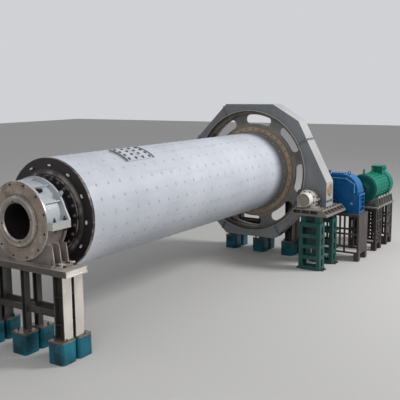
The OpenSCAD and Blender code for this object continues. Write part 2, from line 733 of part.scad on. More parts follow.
module reducer_stand() color([0.18, 0.16, 0.17]) in_mill() {
  low = [reducer_x - reducer_stand_lap, motor_y - reducer_stand_out, floor_z + stand_foot_h];
  high = [reducer_end + reducer_stand_lap, case_y[1] + case_lip / 2, reducer_stand_top];
  box_stand(low, high, [0, 4, 2], frame_post, frame_post);
  side_frame(low, high, (low.y + high.y + stand_plate) / 2, [2, 0, 2], frame_post, frame_post);
  stand_feet(low, high);
}

// Motor
high_shaft_r = 50;
shaft_in = 55;
high_coupling_l = 420;
high_coupling_r = 190;
module on_motor() translate([0, motor_y, pinion_z]) children();
module high_speed_coupling() color([0.3, 0.3, 0.3]) in_mill() on_motor() {
  bar_x(reducer_end - shaft_in, motor_gap + 2 * shaft_in, high_shaft_r);
  translate([reducer_end + (motor_gap - high_coupling_l) / 2, 0, 0]) coupling(high_coupling_l, high_coupling_r);
}
body_r = 0.9 * motor_r;
// Radius and length of the boss round the shaft, and radius and place of the end shield's flat
boss = [150, 50];
shield = [0.86 * motor_r, 60];
// Where the front ring begins and ends, and the same for the rear cowl from the motor's far end
front_ring = [95, 190];
cowl = [345, 40];
ring_step = 15;
fins = 24;
fin_t = 16;
fin_h = 30;
box_x = [1180, 1600];
box_y = [-260, 110];
box_h = 140;
box_pad = motor_r + 10;
motor_foot_z = -309;
motor_foot_y = 445;
motor_foot = [260, 45];
motor_foot_x = [300, motor_l - 600];
module motor_body() color([0, 0.45, 0.37]) in_mill() on_motor() difference() {
  union() {
    along_x(motor_x) rotate_extrude() polygon([
      [0, 0], [boss[0], 0], boss, shield, [motor_r, front_ring[0]], [motor_r, front_ring[1]],
      [body_r, front_ring[1] + ring_step], [body_r, motor_l - cowl[0] - ring_step],
      [motor_r, motor_l - cowl[0]], [motor_r, motor_l - cowl[1]], [body_r, motor_l], [0, motor_l]
    ]);
    around(fins) block([motor_x + front_ring[1] - ring_step, -fin_t / 2, 0],
      [motor_x + motor_l - cowl[0] + ring_step, fin_t / 2, body_r + fin_h]);
    block([motor_x + box_x[0], box_y[0], 0], [motor_x + box_x[1], box_y[1], box_pad]);
    for (x = motor_foot_x) block([motor_x + x, -motor_foot_y, motor_foot_z],
      [motor_x + x + motor_foot[0], motor_foot_y, motor_foot_z + motor_foot[1]]);
  }
  bar_x(motor_x - 1, shaft_in + shaft_end_gap, high_shaft_r + running);
}
module motor_terminal_box() color([0, 0.42, 0.35]) in_mill() on_motor()
  block([motor_x + box_x[0], box_y[0], box_pad], [motor_x + box_x[1], box_y[1], box_pad + box_h]);
motor_base_plate = 40;
motor_base_in = 50;
// Clear of the front ring and the rear cowl
motor_rail_in = ceil(sqrt(motor_r * motor_r - motor_foot_z * motor_foot_z)) + free_gap;
motor_rail_slope = 50;
motor_rail_x = [220, motor_l - 150];
motor_rail_cells = 6;
module motor_base() color([0.2, 0.25, 0.25]) in_mill() {
  block([motor_x + motor_base_in, motor_y - motor_rail_out, stand_top],
    [motor_x + motor_l, motor_y + motor_rail_out, stand_top + motor_base_plate]);
  for (side = [0, 1]) translate([0, motor_y, 0]) mirror([0, side, 0])
    ribbed_rail(motor_x + motor_rail_x[0], motor_x + motor_rail_x[1], stand_top + motor_base_plate + seam,
      pinion_z + motor_foot_z, -motor_rail_in, motor_rail_slope - motor_rail_out, -motor_rail_out,
      motor_rail_cells);
}
motor_stand_l = 600;
motor_stand_x = [100, motor_l - motor_stand_l - 20];
motor_stand_post = 80;
motor_stand_rail = 70;
module motor_stand() color([0.24, 0.2, 0.2]) in_mill() for (x = motor_stand_x) {
  low = [motor_x + x, motor_y - motor_r, floor_z + stand_foot_h];
  high = [motor_x + x + motor_stand_l, motor_y + motor_r, stand_top];
  box_stand(low, high, [3, 3, 3], motor_stand_post, motor_stand_rail);
  stand_feet(low, high);
}

shell();
shell_flange();
manhole_saddle();
feed_head();
discharge_head();
feed_trunnion();
discharge_trunnion();
feed_lock_ring();
discharge_lock_ring();
girth_gear();
gear_web();
feed_bearing();
discharge_bearing();
feed_bearing_base();
discharge_bearing_base();
feed_bearing_cap();
discharge_bearing_cap();
feed_bearing_covers();
discharge_bearing_covers();
feed_table();
discharge_table();
feed_columns();
discharge_columns();
feed_braces();
discharge_braces();
feed_foot_blocks();
discharge_foot_blocks();
guard_front();
guard_rear();
guard_rim();
guard_feet();
pinion();
pinion_shaft();
low_speed_coupling();
pinion_bearings();
pinion_base();
pinion_stands();
reducer_casing();
reducer_stand();
high_speed_coupling();
motor_body();
motor_terminal_box();
motor_base();
motor_stand();
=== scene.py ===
# %% [markdown]
# A ball mill is a long steel drum that turns slowly on two big bearings, with a toothed ring near
# one end that a pinion, a reducer and a motor drive. The solids of every machined piece come from
# the CAD frame and never move. This lesson dresses them: it sets up a camera and plain light,
# writes the finishes as expressions, and adds the nuts, screws, covers and lifting eyes that a CAD
# model leaves out.

# %% Load the frame
import json
import math

import bmesh
import bpy
from mathutils import Matrix, Vector
from mathutils.bvhtree import BVHTree


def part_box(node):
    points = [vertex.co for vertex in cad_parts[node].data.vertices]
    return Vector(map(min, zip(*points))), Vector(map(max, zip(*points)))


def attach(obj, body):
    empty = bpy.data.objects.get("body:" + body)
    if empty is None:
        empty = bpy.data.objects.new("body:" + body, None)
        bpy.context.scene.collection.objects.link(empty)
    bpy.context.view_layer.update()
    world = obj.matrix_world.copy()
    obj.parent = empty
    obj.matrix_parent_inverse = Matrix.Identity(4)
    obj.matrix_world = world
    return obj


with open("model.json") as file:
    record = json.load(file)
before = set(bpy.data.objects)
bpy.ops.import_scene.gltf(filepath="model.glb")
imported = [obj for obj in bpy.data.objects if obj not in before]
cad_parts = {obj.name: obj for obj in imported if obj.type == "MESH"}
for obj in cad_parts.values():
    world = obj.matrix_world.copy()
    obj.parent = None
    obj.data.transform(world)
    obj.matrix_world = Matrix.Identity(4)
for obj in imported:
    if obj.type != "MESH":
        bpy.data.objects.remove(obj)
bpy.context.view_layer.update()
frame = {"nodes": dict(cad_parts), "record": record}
nodes = frame["nodes"]

# %% [markdown]
# Everything that is added has to sit on a real face. All places are measured from one point, the
# centre of the feed head's outer face, because the drum's length, the bearings and the drive line
# are all set out from there on a real mill. `at` turns such a measure into the frame's own axes.

# %% Lines and faces to measure from
def middle(node):
    low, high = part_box(node)
    return (low + high) / 2


drum_axis = middle("feed_trunnion")
AXIS_Y, AXIS_Z = drum_axis.y, drum_axis.z
HEAD_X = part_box("feed_trunnion")[1].x
END_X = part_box("discharge_trunnion")[0].x
DRUM_L = END_X - HEAD_X
DRUM_R = (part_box("shell")[1].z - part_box("shell")[0].z) / 2


def at(x, y, z):
    return Vector((HEAD_X + x, AXIS_Y + y, AXIS_Z + z))


def local(node):
    low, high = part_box(node)
    origin = at(0, 0, 0)
    return low - origin, high - origin


def around(radius, degrees):
    """Sideways and upward parts of a radius, with 0 degrees level towards the drive side."""
    turn = math.radians(degrees)
    return -radius * math.cos(turn), radius * math.sin(turn)


print("drum radius", round(DRUM_R, 3), "length", round(DRUM_L, 3), "axis height", round(AXIS_Z, 3))

# %% [markdown]
# The camera stands on the drive side of the feed end, a little above the drum's axis. Its place is
# given from the centre of the feed head, and its turn as a yaw from +Y towards +X, a pitch below
# the horizon and a small roll, which is how a surveyor would note it.

# %% Camera
CAMERA_FROM_HEAD = Vector((-10.078, -10.322, 2.578))
YAW, PITCH, ROLL = (math.radians(a) for a in (57.012, 9.291, -0.522))
FOCAL_PIXELS, IMAGE_WIDTH = 677.31, 400
SENSOR = 36.0

forward = Vector((math.sin(YAW) * math.cos(PITCH), math.cos(YAW) * math.cos(PITCH), -math.sin(PITCH)))
level_right = Vector((math.cos(YAW), -math.sin(YAW), 0))
level_up = level_right.cross(forward)
right = math.cos(ROLL) * level_right + math.sin(ROLL) * level_up
up = math.cos(ROLL) * level_up - math.sin(ROLL) * level_right
camera_data = bpy.data.cameras.new("camera")
camera_data.sensor_width = SENSOR
camera_data.lens = SENSOR * (FOCAL_PIXELS / IMAGE_WIDTH)
camera_data.clip_end = 200
camera = bpy.data.objects.new("camera", camera_data)
turn = Matrix((right, up, -forward)).transposed().to_4x4()
camera.matrix_world = Matrix.Translation(at(0, 0, 0) + CAMERA_FROM_HEAD) @ turn
scene = bpy.context.scene
scene.collection.objects.link(camera)
scene.camera = camera
print("lens", round(camera_data.lens, 2), "mm")

# %% [markdown]
# Finishes are easier to read as sums than as nodes, so one small class wraps a socket. Adding or
# multiplying two of them adds a Math node, or a Vector Math node where a colour or a place is
# involved, because a Math node would turn a colour grey. Every other node comes from `add`.

# %% The Shade class
class Shade:
    """One output socket in a material, on which arithmetic adds nodes."""

    def __init__(self, tree, socket):
        self.tree = tree
        self.socket = socket

    def add(self, kind, settings=None, sockets=None, out=0):
        made = self.tree.nodes.new(kind)
        for name, value in (settings or {}).items():
            setattr(made, name, value)
        for name, value in (sockets or {}).items():
            put(self.tree, made.inputs[name], value)
        return Shade(self.tree, made.outputs[out])

    def reckon(self, operation, first, second=0.0):
        if any(is_wide(side) for side in (first, second)):
            return self.add("ShaderNodeVectorMath", {"operation": operation}, {0: first, 1: second})
        return self.add("ShaderNodeMath", {"operation": operation}, {0: first, 1: second})

    def __add__(self, other):
        return self.reckon("ADD", self, other)

    __radd__ = __add__

    def __sub__(self, other):
        return self.reckon("SUBTRACT", self, other)

    def __rsub__(self, other):
        return self.reckon("SUBTRACT", other, self)

    def __mul__(self, other):
        return self.reckon("MULTIPLY", self, other)

    __rmul__ = __mul__

    def __pow__(self, other):
        return self.reckon("POWER", self, other)

    def __abs__(self):
        return self.reckon("ABSOLUTE", self)

    def part(self, axis):
        return self.add("ShaderNodeSeparateXYZ", sockets={0: self}, out=axis)

    def between(self, low, high, start=0.0, end=1.0):
        """Runs smoothly from start to end as this value goes from low to high."""
        return self.add("ShaderNodeMapRange", {"interpolation_type": "SMOOTHSTEP"},
                        {"Value": self, "From Min": low, "From Max": high, "To Min": start, "To Max": end})

    def near_multiple(self, step):
        """Distance to the nearest whole multiple of step."""
        return self.add("ShaderNodeMath", {"operation": "PINGPONG"}, {0: self, 1: step / 2})

    def tint(self, first, second):
        """Mixes two colours by this value."""
        return self.add("ShaderNodeMix", {"data_type": "RGBA"}, {0: self, 6: first, 7: second}, out=2)

    def noise(self, scale, detail=4.0, roughness=0.55, stretch=None):
        place = self if stretch is None else self * stretch
        return place.add("ShaderNodeTexNoise", sockets={"Vector": place, "Scale": scale, "Detail": detail,
                                                        "Roughness": roughness})

    def edges(self, reach):
        """Near 1 within reach of a sharp edge, where a rounded normal leaves the true one."""
        rounded = self.add("ShaderNodeBevel", {"samples": 4}, {"Radius": reach})
        flat = self.add("ShaderNodeNewGeometry", out=3)
        agree = self.add("ShaderNodeVectorMath", {"operation": "DOT_PRODUCT"}, {0: rounded, 1: flat}, out=1)
        return (1 - agree).between(0.03, 0.25)


def is_wide(side):
    if isinstance(side, Shade):
        return side.socket.type in ("RGBA", "VECTOR")
    return isinstance(side, (tuple, list, Vector))


def put(tree, socket, value):
    if isinstance(value, Shade):
        tree.links.new(value.socket, socket)
    elif socket.type == "RGBA" and len(value) == 3:
        socket.default_value = (*value, 1)
    elif socket.type == "VECTOR" and not isinstance(value, (tuple, list, Vector)):
        socket.default_value = (value, value, value)
    else:
        socket.default_value = value


def paint(red, green, blue):
    """A paint's colour, from the numbers that a colour chart gives."""
    def linear(level):
        share = level / 255
        return share / 12.92 if share <= 0.04045 else ((share + 0.055) / 1.055) ** 2.4
    return linear(red), linear(green), linear(blue)


EDGE_REACH = 0.010
finishes = {}


def finish(name, build, metallic=0.0, coat=0.0, edge_wear_and_highlight=0.6, gloss=0.5):
    """Makes a material. build takes a place and returns colour, roughness, height, depth and maybe metal."""
    material = bpy.data.materials.new(name)
    material.use_nodes = True
    tree = material.node_tree
    shader = tree.nodes["Principled BSDF"]
    place = Shade(tree, tree.nodes.new("ShaderNodeTexCoord").outputs["Object"])
    from_head = place - tuple(at(0, 0, 0))
    colour, roughness, height, depth, *metal = build(from_head)
    # Sharp edges are lightened: partly paint rubbed off, partly a painted highlight where light catches them.
    rubbed_and_lit_edges = place.edges(EDGE_REACH) * from_head.noise(11, detail=5).between(0.38, 0.58)
    colour = (rubbed_and_lit_edges * edge_wear_and_highlight).tint(colour, colour * 1.5 + (0.05, 0.05, 0.05))
    put(tree, shader.inputs["Base Color"], colour)
    put(tree, shader.inputs["Roughness"], roughness)
    put(tree, shader.inputs["Metallic"], metal[0] if metal else metallic)
    shader.inputs["Coat Weight"].default_value = coat
    shader.inputs["Specular IOR Level"].default_value = gloss
    bump = place.add("ShaderNodeBump", sockets={"Height": height, "Distance": depth, "Strength": 0.6})
    put(tree, shader.inputs["Normal"], bump)
    finishes[name] = material


print("finishes are written as expressions on a place measured from the feed head")

# %% [markdown]
# Most of the mill is brushed or sprayed paint on plate that has stood in a workshop: large soft
# clouds where the coat is thin, fine specks of dust and small chips down to dark steel. One recipe
# makes them all, and each paint only changes its colours and how worn it is.

# %% Painted plate
DUST = (0.36, 0.34, 0.31)
PAINT_DEPTH = 0.002


def painted(colour, worn, dusty=0.22, roughness=0.5, wear=0.5, cloud=1.6):
    def build(place):
        clouds = place.noise(cloud, detail=5)
        drips = place.noise(3.0, detail=3, stretch=(3.0, 3.0, 0.5))
        specks = place.noise(38, detail=6, roughness=0.7)
        chips = (specks * 0.6 + clouds * 0.4).between(0.62 - 0.08 * wear, 0.66 - 0.06 * wear)
        shade = clouds.between(0.35, 0.7).tint(colour, tuple(0.82 * c for c in colour))
        dulled = (drips.between(0.5, 0.75) * dusty).tint(shade, DUST)
        coat = (chips * (0.35 + 0.4 * wear)).tint(dulled, worn)
        rough = roughness + 0.16 * specks - 0.1 * clouds
        return coat, rough, specks * 0.5 + chips * -0.4, PAINT_DEPTH
    return build


steel_brown = paint(70, 60, 53)
finish("cap_silver", painted(paint(180, 186, 191), paint(96, 98, 100), roughness=0.42, wear=0.5), coat=0.05)
finish("guard_light", painted(paint(182, 182, 181), paint(120, 118, 114), roughness=0.4, wear=0.4, cloud=0.9))
finish("base_brown", painted(paint(126, 120, 116), steel_brown, roughness=0.5, wear=1.0))
finish("base_grey", painted(paint(128, 128, 122), paint(84, 84, 80), roughness=0.5, wear=0.9))
finish("stand_green", painted(paint(34, 84, 78), paint(62, 64, 58), dusty=0.1, roughness=0.42, wear=0.8),
       gloss=0.3)
finish("reducer_blue", painted(paint(0, 98, 160), paint(4, 44, 78), dusty=0.05, roughness=0.34, wear=0.3),
       coat=0.1, gloss=0.25)
finish("pipe_blue", painted(paint(96, 158, 196), paint(40, 90, 130), dusty=0.05, roughness=0.3, wear=0.4))
# Dark grey for the manhole's end bars: painted shade along the ends of the saddle.
finish("bar_grey", painted(paint(112, 113, 117), paint(70, 70, 72), roughness=0.5, wear=0.6))
print(len(finishes), "painted finishes")

# %% [markdown]
# Some paint changes with its place. Columns and tables carry painted light and shade: their outer side
# faces are painted pale as lit faces, their other faces dark as shaded ones, and the top band of each
# table, where its screw blocks sit, is painted pale as a highlight. The guard's lip is rubbed pale where
# it is handled, the foot blocks carry a brown bearing plate, and the motor's front end and stand are
# darker than the pieces beside them. Each takes a plain paint and lays a second one over it, masked by
# distance, radius or height.

# %% Paint that changes with place
def laid_over(base, mask, colour, rough_change=0.0):
    """Lays a second colour over a finish where mask, worked out from the place, is 1."""
    def build(place):
        shade, rough, height, depth, *metal = base(place)
        share = mask(place)
        return share.tint(shade, colour), rough + share * rough_change, height, depth, *metal
    return build


def out_from(place, y=0.0, z=0.0):
    """Distance from the drum's axis, or from a line beside it."""
    across, upward = place.part(1) - y, place.part(2) - z
    return (across * across + upward * upward) ** 0.5


COLUMN_INSET = 0.006
PANEL_INSET = 0.018
LIT_FACE_EDGE = 0.003
SCREW_BLOCK_H = 0.095
PLATE_T, PLATE_EDGE = 0.032, 0.004
LIP_R, LIP_EDGE = 1.915, 0.002
SHIELD_W, SHIELD_EDGE = 0.075, 0.025
MOTOR_STAND_X = (10.6, 10.7)
plate_low = local("feed_foot_blocks")[1].z - PLATE_T
column_face = local("feed_columns")[1].y - COLUMN_INSET
table_face = local("feed_table")[1].y - PANEL_INSET
table_top = local("feed_table")[1].z - SCREW_BLOCK_H
pinion_line = middle("pinion_shaft") - at(0, 0, 0)
PINION_Y, PINION_Z = pinion_line.y, pinion_line.z
MOTOR_Y = middle("high_speed_coupling").y - AXIS_Y
shield_back = local("motor_body")[0].x + SHIELD_W
# The pedestal and table paints are dark as painted shade; the pale coat below is painted light for their
# outer faces.
pedestal = painted(paint(56, 52, 50), paint(38, 34, 32), dusty=0.1, roughness=0.5, wear=0.9)
table = painted(paint(88, 82, 78), steel_brown, roughness=0.5, wear=0.9)
stand = painted(paint(70, 62, 60), steel_brown, roughness=0.55, wear=1.0)
lit_face_paint = painted(paint(150, 145, 139), paint(92, 84, 76), roughness=0.45, wear=0.5)


def paint_lit_faces(base, face, paler=1.0):
    """Paints the faces that lie further than face to either side of the drum's axis in a pale coat, as
    painted light.
    """
    def build(place):
        dark, rough, height, depth = base(place)
        outer = abs(place.part(1)).between(face - LIT_FACE_EDGE, face)
        return outer.tint(dark, lit_face_paint(place)[0] * paler), rough, height, depth
    return build


finish("pedestal_dark", paint_lit_faces(pedestal, column_face))
# The band at the top of each table, as deep as its screw blocks, is painted pale: a painted highlight.
finish("table_dark", laid_over(paint_lit_faces(table, table_face, paler=1.5),
                               lambda p: p.part(2).between(table_top - 0.004, table_top + 0.002) * 0.8,
                               paint(190, 185, 178)))
finish("stand_dark", laid_over(stand, lambda p: p.part(0).between(*MOTOR_STAND_X) * 0.95,
                               paint(44, 36, 34)))
brushed_teal = laid_over(painted(paint(0, 92, 110), paint(14, 34, 40), dusty=0.02, roughness=0.2, wear=1.0),
                         lambda p: p.noise(3.2, detail=5, stretch=(1, 1, 1.8)).between(0.47, 0.60) * 0.75,
                         paint(4, 40, 50), 0.15)
finish("block_teal", laid_over(brushed_teal,
                               lambda p: p.part(2).between(plate_low, plate_low + PLATE_EDGE),
                               paint(100, 88, 80)), coat=0.3, gloss=0.25)
guard_coat = painted(paint(130, 133, 136), paint(90, 90, 90), roughness=0.4, wear=0.35, cloud=0.9)
finish("guard_grey", laid_over(guard_coat,
                               lambda p: out_from(p).between(LIP_R - LIP_EDGE, LIP_R + LIP_EDGE, 0.8, 0.0),
                               paint(196, 196, 192)))
motor_coat = painted(paint(0, 120, 100), paint(14, 62, 54), dusty=0.1, roughness=0.5, wear=0.35)
finish("motor_green",
       laid_over(motor_coat, lambda p: p.part(0).between(shield_back, shield_back + SHIELD_EDGE, 0.75, 0.0),
                 paint(0, 76, 84)), gloss=0.25)
print(len(finishes), "painted finishes with the ones that change with place")

# %% [markdown]
# The shell is rolled from several courses of plate, welded edge to edge, and sprayed with a pale
# grey primer. The welds show as low beads, and the primer is dulled around each liner bolt, where
# hands and spanners have been. The bolts stand in a regular pattern, so the dull rings are worked
# out from the same spacing, in the drum's own round and lengthwise measures.

# %% Shell primer
BOLT_ROWS = 24
BOLT_FIRST_X = 0.355
BOLT_PITCH = 0.381
BOLT_TURN = 2.8
COURSE = 1.905
WELD_SHIFT = 0.15
BOLT_EDGE, HALO_EDGE = 0.018, 0.052
WELD_HALF, WELD_EDGE = 0.008, 0.02
DARKER_FROM, DARKER_TO = 8.0, 8.6
PRIMER_DEPTH = 0.003


def shell_primer(place):
    angle = place.add("ShaderNodeMath", {"operation": "ARCTAN2"}, {0: place.part(2), 1: 0 - place.part(1)})
    # Whole turns and pitches are added so that neither measure drops below zero.
    row = (angle - math.radians(BOLT_TURN) + 4 * math.pi).near_multiple(2 * math.pi / BOLT_ROWS) * DRUM_R
    ring = (place.part(0) - BOLT_FIRST_X + 40 * BOLT_PITCH).near_multiple(BOLT_PITCH)
    to_bolt = (row * row * 0.3 + ring * ring) ** 0.5
    halo = to_bolt.between(BOLT_EDGE, HALO_EDGE, 1.0, 0.0)
    weld = (place.part(0) + WELD_SHIFT).near_multiple(COURSE).between(WELD_HALF, WELD_EDGE, 1.0, 0.0)
    clouds = place.noise(0.9, detail=5)
    streaks = place.noise(2.2, detail=4, stretch=(0.35, 3.0, 3.0))
    grain = place.noise(60, detail=3)
    base = clouds.between(0.3, 0.7).tint(paint(204, 207, 215), paint(192, 196, 205))
    streaked = (streaks.between(0.52, 0.72) * 0.35).tint(base, paint(168, 172, 182))
    handled = place.noise(1.7, detail=4).between(0.38, 0.62, 0.04, 0.34)
    dulled = (halo * handled).tint(streaked, paint(146, 151, 162))
    # The primer is painted darker over the last stretch of the shell before the discharge end.
    darker_towards_end = (place.part(0).between(DARKER_FROM, DARKER_TO) * 0.55).tint(dulled, paint(138, 141, 152))
    seamed = (weld * 0.12).tint(darker_towards_end, paint(150, 156, 166))
    height = weld * 0.5 + grain * 0.25 + halo * -0.2
    return seamed, 0.42 + 0.2 * clouds - 0.06 * weld, height, PRIMER_DEPTH


finish("shell_paint", shell_primer, coat=0.05)
print("primer dulled around", BOLT_ROWS, "rows of bolts")

# %% [markdown]
# Covers, rings and shafts come off a lathe, so their marks run in circles around the drum's axis
# or around the pinion's. Fine noise along the radius gives the turning marks, and a slow cloud
# gives the warm film of rust preventer that a workshop wipes over bare steel.

# %% Bare machined and cast metal
LATHE_SCALE = 330
LATHE_DEPTH = 0.0006
CAST_DEPTH = 0.002


def turned(bright, dark, film, roughness=0.34, centre=(0.0, 0.0), film_share=0.5):
    def build(place):
        radius = out_from(place, *centre)
        lathe = radius.add("ShaderNodeCombineXYZ", sockets={0: radius * LATHE_SCALE,
                                                            1: place.part(0) * LATHE_SCALE})
        marks = lathe.noise(1.0, detail=2)
        clouds = place.noise(2.4, detail=5)
        spots = place.noise(16, detail=6, roughness=0.72)
        lightened = place.noise(6, detail=6, roughness=0.7).between(0.5, 0.7)
        base = (marks.between(0.3, 0.7) * 0.5 + lightened * 0.5).tint(dark, bright)
        filmed = (clouds.between(0.4, 0.7) * film_share).tint(base, film)
        spotted = (spots.between(0.56, 0.68) * 0.55).tint(filmed, tuple(0.45 * c for c in dark))
        return spotted, roughness + 0.14 * clouds, marks * 0.6, LATHE_DEPTH
    return build


def cast(colour, dark, roughness):
    def build(place):
        clouds = place.noise(1.3, detail=5)
        skin = place.noise(70, detail=5, roughness=0.65)
        lightened = place.noise(5, detail=6, roughness=0.7).between(0.58, 0.72)
        base = clouds.between(0.35, 0.7).tint(colour, dark)
        shade = (lightened * 0.4).tint(base, tuple(1.6 * c + 0.02 for c in colour))
        return shade, roughness + 0.15 * skin - 0.12 * lightened, skin, CAST_DEPTH
    return build


def cover(place):
    """A turned bearing cover with a groove, a dark inner edge and a bright rubbed outer edge."""
    colour, rough, height, depth = turned(paint(214, 203, 190), paint(132, 120, 110), paint(108, 92, 80),
                                          film_share=0.65)(place)
    radius = out_from(place)
    groove = radius.between(0.536, 0.540) * radius.between(0.552, 0.556, 1.0, 0.0)
    edge = radius.between(0.800, 0.808)
    grooved = (groove * 0.7).tint(colour, paint(60, 54, 50))
    edged = (edge * 0.5).tint(grooved, paint(205, 200, 192))
    return edged, rough - edge * 0.08, height - groove * 2.0, depth


def trunnion(place):
    """A dark casting whose journal, lock ring seat and end face are ground bright."""
    colour, rough, height, depth = cast(paint(40, 33, 34), paint(26, 22, 23), roughness=0.4)(place)
    steel = turned(paint(196, 190, 182), paint(146, 140, 132), paint(122, 108, 96))(place)[0]
    outwards = abs(place.part(0) - DRUM_L / 2) - DRUM_L / 2
    radius = out_from(place)
    ground = outwards.between(0.215, 0.222) * radius.between(0.3705, 0.374)
    # The flange's outer edge is lightened: partly a worn edge, partly a painted highlight.
    lightened = radius.between(0.822, 0.838) * place.noise(9, detail=5).between(0.4, 0.6)
    edged = (lightened * 0.8).tint(colour, paint(176, 168, 162))
    return ground.tint(edged, steel), rough - ground * 0.1, height, depth, ground * 0.75


def head_casting(place):
    """A near black head, scuffed along its rim, with a painted highlight on its fillet ring."""
    colour, rough, height, depth = cast(paint(36, 29, 31), paint(25, 21, 23), roughness=0.36)(place)
    radius = out_from(place)
    rim = radius.between(1.185, 1.199) * place.noise(7, detail=5).between(0.42, 0.62)
    # The fillet ring is lightened: a painted highlight.
    lightened = radius.between(0.850, 0.870) * radius.between(0.90, 0.965, 1.0, 0.0)
    worn = rim * 0.6 + lightened * place.noise(2.6, detail=6).between(0.42, 0.64) * 0.75
    return worn.tint(colour, paint(148, 140, 138)), rough - worn * 0.1, height, depth


def pinion_housing(place):
    """Grey cast housings, and a turned steel cap towards the feed end."""
    colour, rough, height, depth = cast(paint(138, 134, 130), paint(96, 92, 88), roughness=0.4)(place)
    steel = turned(paint(190, 184, 174), paint(140, 132, 122), paint(128, 112, 96),
                   centre=(PINION_Y, PINION_Z))(place)[0]
    cap = place.part(0).between(8.440, 8.444, 1.0, 0.0)
    # The cap's side is painted near white: bright machined steel with a painted highlight on it.
    side = out_from(place, PINION_Y, PINION_Z).between(0.196, 0.203)
    machined_and_lit_side = side.tint(steel, paint(232, 229, 223))
    return cap.tint(colour, machined_and_lit_side), rough - cap * 0.08, height, depth, cap * (0.4 - 0.25 * side)


def end_ring(place):
    """A forged ring that runs from grey beside the shell to a warm machined flange."""
    colour, rough, height, depth = turned(paint(214, 196, 170), paint(178, 158, 132),
                                          paint(150, 126, 98))(place)
    grey = place.part(0).between(8.90, 8.938, 0.88, 0.0)
    return grey.tint(colour, paint(138, 140, 148)), rough - grey * 0.12, height, depth, 0.15 - grey * 0.05


def web_plate(place):
    """A dark web between a warm hub ring and brass coloured window edges."""
    colour, rough, height, depth = cast(paint(132, 131, 131), paint(96, 95, 96), roughness=0.42)(place)
    radius = out_from(place)
    hub = radius.between(1.458, 1.464, 1.0, 0.0)
    inner_edge = radius.between(1.478, 1.484) * radius.between(1.500, 1.520, 1.0, 0.0)
    edges = inner_edge + radius.between(1.745, 1.772)
    worn = place.noise(3.5, detail=5).between(0.4, 0.62)
    brassed = (edges * worn * 0.6).tint(colour, paint(186, 162, 124))
    return (hub * (0.15 + 0.45 * worn)).tint(brassed, paint(162, 150, 134)), rough - hub * 0.08, height, depth


finish("machined_steel", turned(paint(188, 182, 174), paint(140, 134, 127), paint(120, 106, 94)),
       metallic=0.6)
finish("bearing_steel", turned(paint(190, 188, 184), paint(150, 148, 144), paint(130, 120, 104)),
       metallic=0.8)
finish("cover_steel", cover, metallic=0.35)
finish("polished_ring", turned(paint(238, 231, 224), paint(150, 142, 136), paint(126, 110, 100),
                               roughness=0.24, film_share=0.4), metallic=0.25)
finish("trunnion_steel", trunnion)
finish("head_casting", head_casting, coat=0.05)
finish("end_ring", end_ring)
finish("web_plate", web_plate, metallic=0.05)
finish("brass_cover", turned(paint(214, 186, 164), paint(178, 150, 130), paint(150, 118, 96)), metallic=0.4)
finish("shaft_steel", turned(paint(180, 178, 176), paint(140, 138, 134), paint(120, 108, 92),
                             centre=(PINION_Y, PINION_Z)), metallic=0.8)
finish("pinion_housing", pinion_housing)
finish("gear_steel", cast(paint(104, 100, 96), paint(66, 63, 61), roughness=0.45))
finish("cut_teeth", turned(paint(128, 124, 118), paint(88, 84, 78), paint(70, 58, 46)), metallic=0.6)


def housing(place):
    """Grey cast housing whose flange above the split stays bright, as it is machined."""
    colour, rough, height, depth = cast(paint(134, 125, 119), paint(94, 87, 83), roughness=0.44)(place)
    flange = place.part(2).between(-0.117, -0.113)
    bright = (flange * 0.85).tint(colour, paint(186, 186, 182))
    return bright, rough - 0.06 * flange, height, depth


finish("housing_grey", housing)
finish("dark_bolt", cast(paint(58, 53, 51), paint(34, 31, 30), roughness=0.28), metallic=0.5)
finish("bright_bolt", turned(paint(196, 194, 190), paint(150, 148, 144), paint(140, 128, 112)), metallic=0.7)
finish("marked_bolt", cast(paint(202, 206, 215), paint(168, 173, 184), roughness=0.5), edge_wear_and_highlight=0.2)
finish("worn_bolt", cast(paint(112, 109, 108), paint(74, 71, 70), roughness=0.3), metallic=0.3)
finish("pale_bolt", cast(paint(226, 223, 218), paint(190, 186, 180), roughness=0.4))
print(len(finishes), "finishes")

# %% [markdown]
# Each CAD solid takes the finish that the record names for it. A few need a finer choice than the
# record's list gives: cut teeth are brighter than their cast rim, and the shell's end ring is tan
# where the primer stops.

# %% Finishes on the CAD solids
OWN_FINISH = {"girth_gear": "cut_teeth", "pinion": "cut_teeth", "shell_flange": "end_ring",
              "pinion_shaft": "shaft_steel", "high_speed_coupling": "shaft_steel", "gear_web": "web_plate",
              "feed_trunnion": "trunnion_steel", "discharge_trunnion": "trunnion_steel",
              "feed_head": "head_casting", "discharge_head": "head_casting",
              "feed_lock_ring": "polished_ring", "discharge_lock_ring": "polished_ring",
              "feed_bearing_covers": "cover_steel", "discharge_bearing_covers": "cover_steel",
              "feed_table": "table_dark", "discharge_table": "table_dark",
              "pinion_bearings": "pinion_housing", "motor_base": "base_grey"}
for row in frame["record"]["subparts"]:
    for material_slot in nodes[row["node"]].material_slots:
        material_slot.material = finishes[OWN_FINISH.get(row["node"], row["material_slot"])]

# %% [markdown]
# Small pieces are gathered in a `Stock`: a list of points and faces that grows as nuts, studs,
# plates and rings are laid into it. Turning a short profile about a line makes a nut with six
# steps and a washer with fourteen, and pushing a flat outline along a line makes a plate. One
# Stock becomes one mesh, so hundreds of nuts cost a single object.

